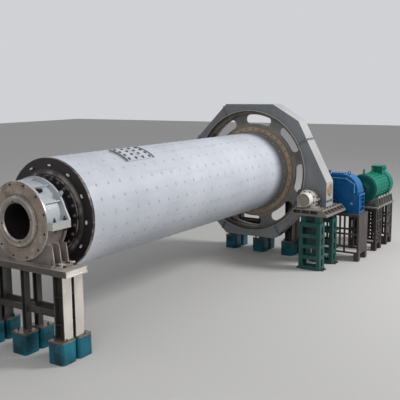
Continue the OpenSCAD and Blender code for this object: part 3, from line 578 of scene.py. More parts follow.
# %% A stock of small pieces
class Stock:
    def __init__(self):
        self.points = []
        self.faces = []

    def turned(self, place, along, profile, steps):
        """Turns (radius, height) pairs about the line through place; a radius of 0 closes an end."""
        along = Vector(along).normalized()
        side = along.orthogonal().normalized()
        other = along.cross(side)
        rings = []
        for radius, height in profile:
            centre = Vector(place) + along * height
            if radius == 0:
                rings.append([self.point(centre)])
                continue
            rings.append([self.point(centre + radius * (math.cos(t) * side + math.sin(t) * other))
                          for t in (2 * math.pi * k / steps for k in range(steps))])
        for first, second in zip(rings, rings[1:]):
            for k in range(steps):
                n = (k + 1) % steps
                corners = [first[k % len(first)], first[n % len(first)], second[n % len(second)],
                           second[k % len(second)]]
                self.faces.append(list(dict.fromkeys(corners)))

    def point(self, place):
        self.points.append(tuple(place))
        return len(self.points) - 1

    def plate(self, outline, thick):
        """Pushes a flat outline of points along the thick vector."""
        low = [self.point(p) for p in outline]
        high = [self.point(Vector(p) + Vector(thick)) for p in outline]
        self.faces.append(low[::-1])
        self.faces.append(high)
        for k in range(len(low)):
            n = (k + 1) % len(low)
            self.faces.append([low[k], low[n], high[n], high[k]])

    def block(self, low, high, bevel=0.004):
        """A block with its four upright edges and its top edge eased."""
        b = bevel
        rings = []
        for inset, z in ((0, low[2]), (0, high[2] - b), (b, high[2])):
            x0, y0, x1, y1 = low[0] + inset, low[1] + inset, high[0] - inset, high[1] - inset
            corners = [(x0 + b, y0), (x1 - b, y0), (x1, y0 + b), (x1, y1 - b),
                       (x1 - b, y1), (x0 + b, y1), (x0, y1 - b), (x0, y0 + b)]
            rings.append([self.point((x, y, z)) for x, y in corners])
        self.faces.append(rings[0][::-1])
        self.faces.append(rings[-1])
        for first, second in zip(rings, rings[1:]):
            for k in range(8):
                n = (k + 1) % 8
                self.faces.append([first[k], first[n], second[n], second[k]])

    def nut(self, place, along, size, height, stud=0.6):
        """A washer, a chamfered six-sided nut and the end of its stud."""
        washer = size * 0.18
        self.turned(place, along, [(size * 1.25, 0), (size * 1.25, washer), (0, washer)], 14)
        self.turned(place, along,
                    [(size, washer), (size, height * 0.85), (size * 0.84, height), (0, height)], 6)
        if stud > 0:
            self.turned(place, along, [(size * 0.5, height), (size * 0.5, height + size * stud),
                                       (0, height + size * stud * 1.1)], 8)

    def loop(self, place, normal, radius, wire, steps=20, round_steps=8):
        """A closed ring of round wire."""
        normal = Vector(normal).normalized()
        side = normal.orthogonal().normalized()
        other = normal.cross(side)
        round_turns = [2 * math.pi * j / round_steps for j in range(round_steps)]
        rings = []
        for k in range(steps):
            out = math.cos(2 * math.pi * k / steps) * side + math.sin(2 * math.pi * k / steps) * other
            rings.append([self.point(Vector(place) + out * (radius + wire * math.cos(t))
                                     + normal * wire * math.sin(t)) for t in round_turns])
        for k in range(steps):
            for j in range(round_steps):
                n, m = (k + 1) % steps, (j + 1) % round_steps
                self.faces.append([rings[k][j], rings[n][j], rings[n][m], rings[k][m]])

    def piece(self, name, body, finish_name, slot, sharp=35.0):
        """Makes one mesh of the stock. Edges sharper than sharp degrees stay crisp."""
        mesh = bpy.data.meshes.new(name)
        mesh.from_pydata(self.points, [], self.faces)
        mesh.validate()
        facing = bmesh.new()
        facing.from_mesh(mesh)
        bmesh.ops.recalc_face_normals(facing, faces=facing.faces)
        facing.to_mesh(mesh)
        facing.free()
        mesh.polygons.foreach_set("use_smooth", [True] * len(mesh.polygons))
        mesh.set_sharp_from_angle(angle=math.radians(sharp))
        mesh.materials.append(finishes[finish_name])
        made = bpy.data.objects.new(name, mesh)
        scene.collection.objects.link(made)
        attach(made, body)
        print(name, "-", len(mesh.polygons), "faces on", body)


print("a stock is turned, pushed or boxed, and then made into one piece")

# %% [markdown]
# The wear plates inside the drum hang on bolts through the shell, so the bolts' ends show outside
# in rings and even rows. They are the texture of the whole drum. Until the liner is fitted each
# place is closed with a low plug, and one short turned profile makes them all.

# %% Liner bolts on the shell
SHELL_X1 = local("shell")[1].x
BOLT_PROFILE = [(0.025, -0.002), (0.025, 0.004), (0.016, 0.007), (0.014, 0.011), (0, 0.011)]
liner_bolts = Stock()
ring_count = int((SHELL_X1 - 0.1 - BOLT_FIRST_X) / BOLT_PITCH) + 1
saddle_low, saddle_high = local("manhole_saddle")
BAND_BOLT_R = DRUM_R + 0.036
for ring in range(ring_count + 1):
    x = BOLT_FIRST_X + ring * BOLT_PITCH
    for row in range(BOLT_ROWS):
        degrees = BOLT_TURN + row * 360 / BOLT_ROWS
        y, z = around(DRUM_R if x < SHELL_X1 else BAND_BOLT_R, degrees)
        on_saddle = saddle_low.x < x < saddle_high.x and saddle_low.y < y < saddle_high.y and z > 0
        if not on_saddle:
            liner_bolts.turned(at(x, y, z), (0, y, z), BOLT_PROFILE, 10)
liner_bolts.piece("liner_bolt_plugs", "drum", "marked_bolt", "shell_paint")
print(ring_count, "rings of", BOLT_ROWS)

# %% [markdown]
# The manhole saddle stiffens the shell where two doors are bolted over openings. Each door is a
# curved plate between raised end bars, so it is made from short flat strips that follow the drum,
# with lines of big low nuts across it.

# %% Manhole doors and their nuts
SADDLE_X0, SADDLE_X1 = saddle_low.x, saddle_high.x
SADDLE_MID = 68.0
SADDLE_TOP = DRUM_R + 0.026
DOOR_MARGIN = 0.05
DOOR_HALF, BAR_HALF = 12, 13.4
DOOR_T, BAR_T, SUNK = 0.010, 0.022, 0.004
BAR_W = 0.035


def shell_patch(stock, x0, x1, from_degrees, to_degrees, low, high, steps=8):
    """A curved plate that follows the drum between two angles."""
    outline = []
    for radius, order in ((high, range(steps + 1)), (low, range(steps, -1, -1))):
        for k in order:
            degrees = from_degrees + (to_degrees - from_degrees) * k / steps
            y, z = around(radius, degrees)
            outline.append(at(x0, y, z))
    stock.plate(outline, (x1 - x0, 0, 0))


doors = Stock()
door_bars = Stock()
door_nuts = Stock()
door_width = (SADDLE_X1 - SADDLE_X0) / 2
for k in range(2):
    x0 = SADDLE_X0 + k * door_width + DOOR_MARGIN
    x1 = SADDLE_X0 + (k + 1) * door_width - DOOR_MARGIN
    shell_patch(doors, x0, x1, SADDLE_MID - DOOR_HALF, SADDLE_MID + DOOR_HALF, SADDLE_TOP - SUNK,
                SADDLE_TOP + DOOR_T)
for x in (SADDLE_X0, SADDLE_X1 - BAR_W):
    shell_patch(door_bars, x, x + BAR_W, SADDLE_MID - BAR_HALF, SADDLE_MID + BAR_HALF, SADDLE_TOP - SUNK,
                SADDLE_TOP + BAR_T)
for column in range(4):
    x = SADDLE_X0 + door_width * (0.25 + 0.5 * column)
    for degrees in (-10.5, -3.5, 3.5, 10.5):
        y, z = around(SADDLE_TOP + 0.009, SADDLE_MID + degrees)
        door_nuts.nut(at(x, y, z), (0, y, z), 0.034, 0.022, stud=0)
doors.piece("manhole_doors", "drum", "shell_paint", "shell_paint")
# The end bars carry painted shade.
door_bars.piece("manhole_end_bars", "drum", "bar_grey", "shell_paint")
door_nuts.piece("manhole_nuts", "drum", "worn_bolt", "machined_steel")

# %% [markdown]
# Bolt circles hold the trunnions, the heads and the gear together. A bolt circle is one loop over
# angles, so a helper lays any of them, facing either end of the drum.

# %% Bolt circles on the drum
def bolt_circle(stock, x, radius, count, first, size, height, facing, centre=(0.0, 0.0), stud=0.6):
    for k in range(count):
        y, z = around(radius, first + k * 360 / count)
        stock.nut(at(x, y + centre[0], z + centre[1]), (facing, 0, 0), size, height, stud)


TRUNNION_FLANGE_T = 0.060
TRUNNION_BOLT_R = 0.775
HEAD_BOLT_R = 1.05
dark_nuts = Stock()
for x, facing in ((-TRUNNION_FLANGE_T, -1), (DRUM_L + TRUNNION_FLANGE_T, 1)):
    bolt_circle(dark_nuts, x, TRUNNION_BOLT_R, 24, 4, 0.030, 0.034, facing)
bolt_circle(dark_nuts, DRUM_L, HEAD_BOLT_R, 24, 4, 0.026, 0.030, 1)
dark_nuts.piece("trunnion_bolts", "drum", "worn_bolt", "dark_casting")

# %% [markdown]
# The feed head has small pale keys in place of nuts. Each is one outline with cut corners, scaled
# along the head's rim and outwards from it, and pushed a little way off the head's pads.

# %% Keys on the feed head
PAD_T = 0.018
KEY_T = 0.022
head_keys = Stock()
for k in range(12):
    degrees = -4 + 30 * k
    centre = at(-PAD_T, *around(HEAD_BOLT_R, degrees))
    outward = Vector((0, *around(1, degrees)))
    tangent = Vector((0, *around(1, degrees + 90)))
    outline = [centre + tangent * (0.042 * a) + outward * (0.017 * b)
               for a, b in ((1, 0), (0.8, 0.8), (0.5, 1), (-0.5, 1), (-0.8, 0.8),
                            (-1, 0), (-0.8, -0.8), (-0.5, -1), (0.5, -1), (0.8, -0.8))]
    head_keys.plate(outline, (-KEY_T, 0, 0))
head_keys.piece("head_keys", "drum", "pale_bolt", "machined_steel")

# %% [markdown]
# Thirty-six bolts hold the gear's web, and their nuts show on both sides of the joint.

# %% Bolts of the gear's web
WEB_X0 = local("gear_web")[0].x
END_FLANGE_T = 0.060
GEAR_BOLT_R = 1.315
flange_bolts = Stock()
bolt_circle(flange_bolts, WEB_X0 - END_FLANGE_T, GEAR_BOLT_R, 36, 0, 0.022, 0.026, -1)
bolt_circle(flange_bolts, DRUM_L, GEAR_BOLT_R, 36, 0, 0.022, 0.026, 1)
flange_bolts.piece("gear_flange_bolts", "drum", "machined_steel", "gear_steel")

# %% [markdown]
# The head is a casting, so its flat face runs into the trunnion's flange through a raised fillet.
# A turned profile gives that fillet all round, which a box of edges could not.

# %% Fillet rings on the heads
fillets = Stock()
for x, facing in ((0, -1), (DRUM_L, 1)):
    fillets.turned(at(x, 0, 0), (facing, 0, 0),
                   [(0.842, 0.0), (0.842, 0.034), (0.858, 0.042), (0.885, 0.036), (0.925, 0.016),
                    (0.955, 0.004), (0.965, 0.0)], 96)
fillets.piece("head_fillets", "drum", "head_casting", "dark_casting", sharp=50)

# %% [markdown]
# The girth gear comes in halves so that it can be changed without lifting the drum. Thick lugs on
# the inside of the rim meet at each split and are drawn together by long bolts.

# %% Split lugs on the girth gear
GEAR_X0, GEAR_X1 = local("girth_gear")[0].x, local("girth_gear")[1].x
RIM_IN_R = 1.79
GEAR_TEETH = 156
SPLIT_AT = -18
LUG_W, LUG_DEEP = 0.12, 0.075
split_degrees = [SPLIT_AT - 180 / GEAR_TEETH + 180 * k for k in (0, 1)]
lugs = Stock()
lug_bolts = Stock()
for degrees in split_degrees:
    for side in (-1, 1):
        near, far = degrees + side * 0.12, degrees + side * 2.6
        for x0 in (GEAR_X0 + 0.02, GEAR_X1 - 0.14):
            outline = [at(x0, *around(RIM_IN_R + 0.004, near)),
                       at(x0, *around(RIM_IN_R - LUG_DEEP, near)),
                       at(x0, *around(RIM_IN_R - LUG_DEEP, degrees + side * 1.9)),
                       at(x0, *around(RIM_IN_R + 0.004, far))]
            lugs.plate(outline, (LUG_W, 0, 0))
    for x in (GEAR_X0 + 0.08, GEAR_X1 - 0.08):
        y, z = around(RIM_IN_R - 0.04, degrees + 2.0)
        step = Vector((0, *around(1, degrees + 92)))
        lug_bolts.nut(at(x, y, z) - step * 0.008, step, 0.024, 0.028)
lugs.piece("gear_split_lugs", "drum", "gear_steel", "gear_steel")
lug_bolts.piece("gear_split_bolts", "drum", "dark_bolt", "gear_steel")

# %% [markdown]
# Each main bearing's cover is held by twelve countersunk screws, and its cap by two big studs a
# side through the bright split flange. The foot has four studs, and screws in the table's blocks
# push it into line. The same list serves both ends, with `out` pointing away from the drum.

# %% Main bearing fasteners
def end_x(offset, end):
    """A place along the drum, offset outwards from the feed head or the discharge head."""
    return -offset if end == 0 else DRUM_L + offset


FOOT_EDGE = 0.030
BEARING_MID = HEAD_X - middle("feed_bearing").x
COVER_FACE = -local("feed_bearing_covers")[0].x - 0.008
HOUSING_IN = -local("feed_bearing_base")[1].x + FOOT_EDGE
HOUSING_OUT = -local("feed_bearing_base")[0].x - FOOT_EDGE
COVER_SCREW_R = 0.752
FOOT_TOP = -0.815
SPLIT_TOP = 0.040
SPLIT_LOW = -0.115
STUD_Y, SPLIT_Y, FOOT_Y = 0.872, 0.885, 0.842
JACK_MID = BEARING_MID + 0.015
JACK_Z = local("feed_bearing_base")[0].z + 0.050
JACK_Y, JACK_NUT_Y = 1.030, 1.090
JACK_SHIFT = 0.14
JACK_L = 0.150

cover_screws = Stock()
cap_bolts = Stock()
jack_screws = Stock()
for end, out in ((0, -1), (1, 1)):
    for k in range(12):
        y, z = around(COVER_SCREW_R, -15 + 30 * k)
        cover_screws.turned(at(end_x(COVER_FACE, end), y, z), (out, 0, 0),
                            [(0.024, 0), (0.024, 0.010), (0.018, 0.014), (0.016, 0.006), (0, 0.006)], 14)
    for side in (-1, 1):
        for offset in (HOUSING_IN + 0.11, HOUSING_OUT - 0.11):
            x = end_x(offset, end)
            cap_bolts.nut(at(x, side * STUD_Y, SPLIT_TOP), (0, 0, 1), 0.032, 0.045, stud=1.2)
            cap_bolts.nut(at(x, side * SPLIT_Y, SPLIT_LOW), (0, 0, -1), 0.032, 0.040, stud=0.6)
        for offset in (HOUSING_IN + 0.03, HOUSING_OUT - 0.03):
            cap_bolts.nut(at(end_x(offset, end), side * FOOT_Y, FOOT_TOP), (0, 0, 1), 0.030, 0.042, stud=2.2)
        for offset in (JACK_MID - JACK_SHIFT, JACK_MID + JACK_SHIFT):
            x = end_x(offset, end)
            jack_screws.turned(at(x, side * JACK_Y, JACK_Z), (0, -side, 0),
                               [(0.013, 0), (0.013, JACK_L), (0, JACK_L)], 12)
            jack_screws.nut(at(x, side * JACK_NUT_Y, JACK_Z), (0, side, 0), 0.026, 0.030, stud=1.6)
cover_screws.piece("cover_screws", "frame", "dark_bolt", "machined_steel")
cap_bolts.piece("bearing_bolts", "frame", "dark_bolt", "machined_steel")
jack_screws.piece("table_jack_screws", "frame", "dark_bolt", "pedestal_dark")

# %% [markdown]
# A cap is lifted by two eyes on its rear flange, and carries a small box for its temperature probe.
# The bevelled ring in front of the cover locks the bearing to the trunnion, so it turns with it,
# and so do four low screws in the end face of the feed trunnion.

# %% Cap fittings and lock ring bevels
EYE_R, PROBE_R = 0.845, 0.775
LOCK_RING_IN, LOCK_RING_FACE, RING_SCREW_R = 0.880, 0.934, 0.483
TRUNNION_END, END_SCREW_R = 0.940, 0.412
cap_fittings = Stock()
probe_boxes = Stock()
bevels = Stock()
for end, out in ((0, -1), (1, 1)):
    for degrees in (38, 142):
        y, z = around(EYE_R, degrees)
        base = at(end_x(HOUSING_IN + 0.008, end), y, z)
        rise = Vector((0, y, z)).normalized()
        sideways = rise.cross(Vector((1, 0, 0)))
        outline = [base - sideways * 0.06 - rise * 0.02, base + sideways * 0.06 - rise * 0.02,
                   base + sideways * 0.055 + rise * 0.03, base + sideways * 0.03 + rise * 0.07,
                   base - sideways * 0.03 + rise * 0.07, base - sideways * 0.055 + rise * 0.03]
        cap_fittings.plate(outline, (0.024 * out, 0, 0))
        cap_fittings.loop(base + rise * 0.075 + Vector((0.012 * out, 0, 0)), (1, 0, 0), 0.034, 0.011)
    y, z = around(PROBE_R, 52)
    x = end_x(BEARING_MID + 0.13, end)
    low = at(x, y, z) - Vector((0.045, 0.05, 0.01))
    probe_boxes.block(low, low + Vector((0.09, 0.10, 0.075)))
    probe_boxes.turned(low + Vector((0.045, 0.0, 0.035)), (0, -1, 0),
                       [(0.016, 0), (0.016, 0.04), (0, 0.04)], 12)
    bevels.turned(at(end_x(LOCK_RING_IN, end), 0, 0), (out, 0, 0),
                  [(0.509, 0.010), (0.509, 0.044), (0.498, 0.054), (0.462, 0.054), (0.455, 0.046),
                   (0.455, 0.040)], 96)
    for k in range(8):
        y, z = around(RING_SCREW_R, 10 + 45 * k)
        bevels.turned(at(end_x(LOCK_RING_FACE, end), y, z), (out, 0, 0),
                      [(0.011, 0), (0.011, 0.006), (0, 0.006)], 12)
end_screws = Stock()
for k in range(4):
    y, z = around(END_SCREW_R, 10 + 90 * k)
    end_screws.turned(at(-TRUNNION_END, y, z), (-1, 0, 0),
                      [(0.020, 0), (0.020, 0.008), (0.014, 0.012), (0, 0.012)], 6)
end_screws.piece("feed_end_screws", "drum", "dark_bolt", "machined_steel")
cap_fittings.piece("cap_lifting_eyes", "frame", "cap_silver", "cap_silver")
probe_boxes.piece("probe_boxes", "frame", "dark_bolt", "housing_grey")
bevels.piece("lock_ring_bevels", "drum", "polished_ring", "machined_steel")

# %% [markdown]
# The pedestals are welded from rolled sections. Where a column lands on its block two nuts hold
# it, and stiffeners stand between the flanges of the outer columns. Stiffeners are thin plates
# that a plain CAD column leaves out, but they break up its long dark sides.

# %% Column foot nuts and stiffeners
column_low, column_high = local("feed_columns")
block_top = local("feed_foot_blocks")[1].z
COLUMN_ROWS = (0.453, 0.777)
COLUMN_Y = 1.040
COLUMN_HALF_D = 0.122
WEB_HALF = 0.009
FLANGE_T = 0.022
STIFF_HALF_W, STIFF_T = 0.106, 0.012
stiffeners = Stock()
foot_nuts = Stock()
for end in (0, 1):
    for row, lean in zip(COLUMN_ROWS, (-0.07, 0.07)):
        for y in (-COLUMN_Y, 0, COLUMN_Y):
            for nut_y in (-0.165, 0.165):
                place = at(end_x(row + lean * 1.4, end), y + nut_y, block_top)
                foot_nuts.nut(place, (0, 0, 1), 0.022, 0.030, stud=1.4)
            if y == 0:
                continue
            for z in (column_high.z - 0.012, column_high.z - 0.42, column_low.z + 0.30, column_low.z + 0.012):
                for side in (-1, 1):
                    x0 = end_x(row, end) + side * WEB_HALF
                    x1 = x0 + side * (COLUMN_HALF_D - FLANGE_T)
                    y0, y1 = y - STIFF_HALF_W, y + STIFF_HALF_W
                    outline = [at(x0, y0, z - STIFF_T / 2), at(x1, y0, z - STIFF_T / 2),
                               at(x1, y1, z - STIFF_T / 2), at(x0, y1, z - STIFF_T / 2)]
                    stiffeners.plate(outline, (0, 0, STIFF_T))
stiffeners.piece("column_stiffeners", "frame", "pedestal_dark", "pedestal_dark")
foot_nuts.piece("column_foot_nuts", "frame", "dark_bolt", "pedestal_dark")

# %% [markdown]
# The guard is bolted together from segments. At each joint two flanges stand out from the plates
# and are drawn together by a row of bolts. A flange strip is laid along the joint's line, on the
# side plate from the opening to the rim, and on across the rim's width.

# %% Guard joint flanges
GUARD_X0, GUARD_X1 = local("guard_rim")[0].x - 0.012, local("guard_rim")[1].x + 0.012
GUARD_IN_R = 1.914
JOINTS = (28.5, -16.5, 116.0, 151.5, 180.0, -62.0, -118.0)
STRIP_OUT, STRIP_RISE = 0.045, 0.042
STRIP_T, STRIP_GAP = 0.010, 0.004
BOLT_OUT = 0.014
joint_strips = Stock()
joint_bolts = Stock()
rim_mesh = nodes["guard_rim"].data
rim_tree = BVHTree.FromPolygons([v.co for v in rim_mesh.vertices], [p.vertices for p in rim_mesh.polygons])


def rim_radius(degrees):
    """How far out the rim's outer face lies at an angle."""
    outward = Vector((0, *around(1, degrees)))
    axis_point = at((GUARD_X0 + GUARD_X1) / 2, 0, 0)
    hit = rim_tree.ray_cast(axis_point + 5 * outward, -outward)[0]
    return (hit - axis_point).length


def joint_flange(degrees):
    """Two strips with bolts along a joint, on both side plates and over the rim."""
    across = Vector((0, *around(1, degrees + 90)))
    outward = Vector((0, *around(1, degrees)))
    outer = rim_radius(degrees)
    for side in (-1, 1):
        offset = across * (STRIP_GAP * side)
        thick = across * (STRIP_T * side)
        for x, out in ((GUARD_X0, -1), (GUARD_X1, 1)):
            low = at(x, *around(GUARD_IN_R, degrees)) + offset
            high = at(x, *around(outer - 0.02, degrees)) + offset
            stand_out = Vector((out * STRIP_OUT, 0, 0))
            joint_strips.plate([low, high, high + stand_out, low + stand_out], thick)
        low = at(GUARD_X0 + 0.02, *around(outer - 0.004, degrees)) + offset
        wide = Vector((GUARD_X1 - GUARD_X0 - 0.04, 0, 0))
        rise = outward * STRIP_RISE
        joint_strips.plate([low, low + wide, low + wide + rise, low + rise], thick)
    count = max(2, int((outer - GUARD_IN_R) / 0.09))
    for k in range(count):
        radius = GUARD_IN_R + (k + 0.5) * (outer - GUARD_IN_R) / count
        for x, out in ((GUARD_X0, -1), (GUARD_X1, 1)):
            place = at(x + out * 0.024, *around(radius, degrees)) + across * BOLT_OUT
            joint_bolts.nut(place, across, 0.013, 0.016, stud=0.8)
    for k in range(5):
        x = GUARD_X0 + 0.06 + k * (GUARD_X1 - GUARD_X0 - 0.12) / 4
        place = at(x, *around(outer + 0.020, degrees)) + across * BOLT_OUT
        joint_bolts.nut(place, across, 0.012, 0.015, stud=0.8)


for degrees in JOINTS:
    joint_flange(degrees)
joint_strips.piece("guard_joint_flanges", "frame", "guard_grey", "guard_grey")
joint_bolts.piece("guard_joint_bolts", "frame", "dark_bolt", "guard_grey")

# %% [markdown]
# The rim is the guard's bright edge, and level with the pinion it has a round inspection cover, so
# that the mesh of the teeth can be seen. A stepped profile is turned for the plate and its boss,
# and a ring of small nuts holds it on.

# %% Inspection cover on the guard
guard_low = local("guard_rim")[0]
GUARD_MID_X = (GUARD_X0 + GUARD_X1) / 2
COVER_Z = -0.45
COVER_BOLT_R = 0.166
inspection = Stock()
inspection.turned(at(GUARD_MID_X, guard_low.y, COVER_Z), (0, -1, 0),
                  [(0.185, 0), (0.185, 0.010), (0.180, 0.014), (0.150, 0.016), (0.146, 0.026),
                   (0, 0.026)], 40)
inspection.piece("guard_inspection_cover", "frame", "brass_cover", "machined_steel")
cover_bolts = Stock()
for k in range(8):
    turn_k = 2 * math.pi * k / 8
    place = at(GUARD_MID_X + COVER_BOLT_R * math.cos(turn_k), guard_low.y - 0.014,
               COVER_Z + COVER_BOLT_R * math.sin(turn_k))
    cover_bolts.nut(place, (0, -1, 0), 0.010, 0.010, stud=0)
cover_bolts.piece("inspection_cover_bolts", "frame", "dark_bolt", "machined_steel")

# %% [markdown]
# The pinion's bearings are split housings on a ribbed base. Screws hold the round end cap, two
# nuts a side hold the split and two more hold the foot, with a grease nipple on the crown.

# %% Pinion bearing fasteners
base_low, base_high = local("pinion_base")
NEAR_X, NEAR_W = 8.540, 0.220
FAR_X, FAR_W = 9.465, 0.240
CAP_FACE = local("pinion_bearings")[0].x
SPLIT_NUT_Z = PINION_Z + 0.035
FOOT_NUT_Z = base_high.z + 0.055
pinion_nuts = Stock()
for k in range(6):
    y, z = around(0.160, 30 + 60 * k)
    pinion_nuts.turned(at(CAP_FACE, PINION_Y + y, PINION_Z + z), (-1, 0, 0),
                       [(0.010, 0), (0.010, 0.006), (0.008, 0.008), (0, 0.008)], 6)
for x, width in ((NEAR_X, NEAR_W), (FAR_X, FAR_W)):
    for side in (-1, 1):
        for shift in (-0.28 * width, 0.28 * width):
            pinion_nuts.nut(at(x + shift, PINION_Y + side * 0.290, SPLIT_NUT_Z), (0, 0, 1), 0.020, 0.028)
            pinion_nuts.nut(at(x + shift, PINION_Y + side * 0.285, FOOT_NUT_Z), (0, 0, 1), 0.022, 0.030, 1.2)
    pinion_nuts.turned(at(x, PINION_Y, PINION_Z + 0.262), (0, 0, 1),
                       [(0.014, -0.03), (0.014, 0.012), (0.008, 0.016), (0.008, 0.034), (0, 0.036)], 10)
bolt_circle(pinion_nuts, NEAR_X - NEAR_W / 2 - 0.020, 0.240, 8, 22.5, 0.016, 0.018, -1,
            (PINION_Y, PINION_Z), 0.3)
pinion_nuts.piece("pinion_bearing_nuts", "frame", "dark_bolt", "cap_silver")

end_cap = Stock()
end_cap.turned(at(CAP_FACE, PINION_Y, PINION_Z), (-1, 0, 0),
               [(0.207, -0.050), (0.207, -0.006), (0.203, 0.003), (0.190, 0.003), (0.186, 0.001),
                (0.150, 0.001)], 48)
end_cap.piece("pinion_end_cap_rim", "frame", "pinion_housing", "cap_silver")

# %% [markdown]
# The base is levelled on its stands with screws. Nuts along its ledge, and the clamp blocks that
# hold each stand to the floor from outside, are what shows.

# %% Base studs and stand clamps
stand_low, stand_high = local("pinion_stands")
STANDS = ((8.040, 8.400), (9.000, 9.360))
CLAMP_W, CLAMP_D, CLAMP_T = 0.08, 0.10, 0.030
base_studs = Stock()
stand_feet = Stock()
for x0, x1 in STANDS:
    for y in (stand_low.y + 0.09, stand_high.y - 0.09):
        for x in (x0 + 0.10, x1 - 0.10):
            base_studs.nut(at(max(x, base_low.x + 0.05), y, base_low.z), (0, 0, -1), 0.020, 0.024, 0.8)
    for y in (stand_low.y, stand_high.y):
        side = -1 if y == stand_low.y else 1
        for x in (x0 + 0.05, x1 - 0.13):
            low = at(x, y if side > 0 else y - CLAMP_D, stand_low.z)
            stand_feet.block(low, low + Vector((CLAMP_W, CLAMP_D, CLAMP_T)))
            base_studs.nut(low + Vector((CLAMP_W / 2, CLAMP_D / 2, CLAMP_T)), (0, 0, 1), 0.018, 0.024, 1.4)
for k in range(7):
    x = base_low.x + 0.12 + k * 0.21
    base_studs.nut(at(x, base_low.y + 0.20, base_high.z), (0, 0, 1), 0.018, 0.024, 1.0)
base_studs.piece("base_studs", "frame", "dark_bolt", "base_brown")
stand_feet.piece("stand_clamps", "frame", "stand_dark", "stand_dark")

# %% [markdown]
# A reducer's casing splits level with its shafts, so a line of bolts runs along that flange. More
# hold the feet, and each shaft has a round cover with its own bolts.

# %% Reducer bolts
case_low, case_high = local("reducer_casing")
CASE_X0, CASE_X1 = 9.850, 10.300
FLANGE_OUT = 0.060
CASE_Y0, CASE_Y1 = case_low.y + FLANGE_OUT, case_high.y - FLANGE_OUT
MIDDLE_Y = (PINION_Y + MOTOR_Y) / 2
COVER_T = 0.030
reducer_bolts = Stock()
for k in range(9):
    y = CASE_Y0 + 0.05 + k * (CASE_Y1 - CASE_Y0 - 0.10) / 8
    for x in (CASE_X0 - 0.010, CASE_X1 + 0.010):
        reducer_bolts.nut(at(x, y, SPLIT_NUT_Z), (0, 0, 1), 0.014, 0.020, 0.8)
for x in (CASE_X0 + 0.06, CASE_X0 + 0.22, CASE_X1 - 0.06):
    for y in (CASE_Y0 - 0.030, CASE_Y1 + 0.030):
        reducer_bolts.nut(at(x, y, SPLIT_NUT_Z), (0, 0, 1), 0.014, 0.020, 0.8)
        reducer_bolts.nut(at(x, y, case_low.z + 0.070), (0, 0, 1), 0.022, 0.030, 1.2)
for y, radius in ((PINION_Y, 0.225), (MOTOR_Y, 0.160), (MIDDLE_Y, 0.105)):
    bolt_circle(reducer_bolts, CASE_X0 - COVER_T, radius, 8, 11, 0.012, 0.014, -1, (y, PINION_Z), 0.3)
    if y != PINION_Y:
        bolt_circle(reducer_bolts, CASE_X1 + COVER_T, radius, 8, 11, 0.012, 0.014, 1, (y, PINION_Z), 0.3)
print("reducer casing", round(CASE_Y1 - CASE_Y0, 3), "wide and", round(CASE_X1 - CASE_X0, 3), "long")

# %% [markdown]
# Three ribs fan out above each shaft on both faces, and level ribs run along both ends. On top are
# an inspection lid, a breather and two lifting eyes.

# %% Reducer ribs and fittings
RIB_IN_R, RIB_OUT_R = 0.27, 0.50
RIB_HALF_T, RIB_OUT = 0.009, 0.022
LID_INSET, LID_HALF, LID_T = 0.09, 0.20, 0.024
reducer_trim = Stock()
for y in (MOTOR_Y, MIDDLE_Y, PINION_Y):
    for degrees in (60, 90, 120):
        lean_y, lean_z = around(1, degrees)
        for x, out in ((CASE_X0, -1), (CASE_X1, 1)):
            start = at(x, y + lean_y * RIB_IN_R, PINION_Z + lean_z * RIB_IN_R)
            stop = at(x, y + lean_y * RIB_OUT_R, PINION_Z + lean_z * RIB_OUT_R)
            cross = Vector((0, lean_z, -lean_y)) * RIB_HALF_T
            reducer_trim.plate([start - cross, start + cross, stop + cross, stop - cross],
                               (out * RIB_OUT, 0, 0))
reducer_trim.block(at(CASE_X0 + LID_INSET, MIDDLE_Y - LID_HALF, case_high.z - 0.004),
                   at(CASE_X1 - LID_INSET, MIDDLE_Y + LID_HALF, case_high.z + LID_T))
reducer_trim.turned(at(CASE_X0 + 0.20, MIDDLE_Y + 0.30, case_high.z - 0.01), (0, 0, 1),
                    [(0.022, 0), (0.022, 0.05), (0.038, 0.055), (0.038, 0.09), (0.026, 0.10), (0, 0.10)], 16)
for y in (MIDDLE_Y - 0.33, MIDDLE_Y + 0.42):
    reducer_trim.loop(at((CASE_X0 + CASE_X1) / 2, y, case_high.z + 0.030), (1, 0, 0), 0.042, 0.014)
for k in range(4):
    for x in (CASE_X0 + 0.115, CASE_X1 - 0.115):
        reducer_bolts.nut(at(x, MIDDLE_Y - 0.165 + k * 0.11, case_high.z + LID_T), (0, 0, 1), 0.010, 0.012, 0)
for k in range(3):
    z = PINION_Z - 0.12 - 0.14 * k
    for y0, y1 in ((CASE_Y0 - 0.055, CASE_Y0), (CASE_Y1, CASE_Y1 + 0.055)):
        reducer_trim.plate([at(CASE_X0 + 0.03, y0, z), at(CASE_X1 - 0.03, y0, z), at(CASE_X1 - 0.03, y1, z),
                            at(CASE_X0 + 0.03, y1, z)], (0, 0, 0.014))
print(len(reducer_trim.faces), "faces on the ribs, lid, breather and eyes")

# %% [markdown]
# A pale blue pipe carries oil up the near face and along it to the bearings, and a round sight
# glass shows how high the oil stands.

# %% Oil pipes and sight glass
PIPE_R = 0.014
FITTING_R = 0.024


def pipe(stock, points):
    """Straight runs of round pipe, with a fitting at each end and corner."""
    for first, second in zip(points, points[1:]):
        run = Vector(second) - Vector(first)
        stock.turned(first, run, [(PIPE_R, 0), (PIPE_R, run.length)], 10)
    for corner in points:
        stock.turned(Vector(corner) - Vector((0, 0, FITTING_R)), (0, 0, 1),
                     [(0, 0), (FITTING_R, 0), (FITTING_R, 2 * FITTING_R), (0, 2 * FITTING_R)], 6)


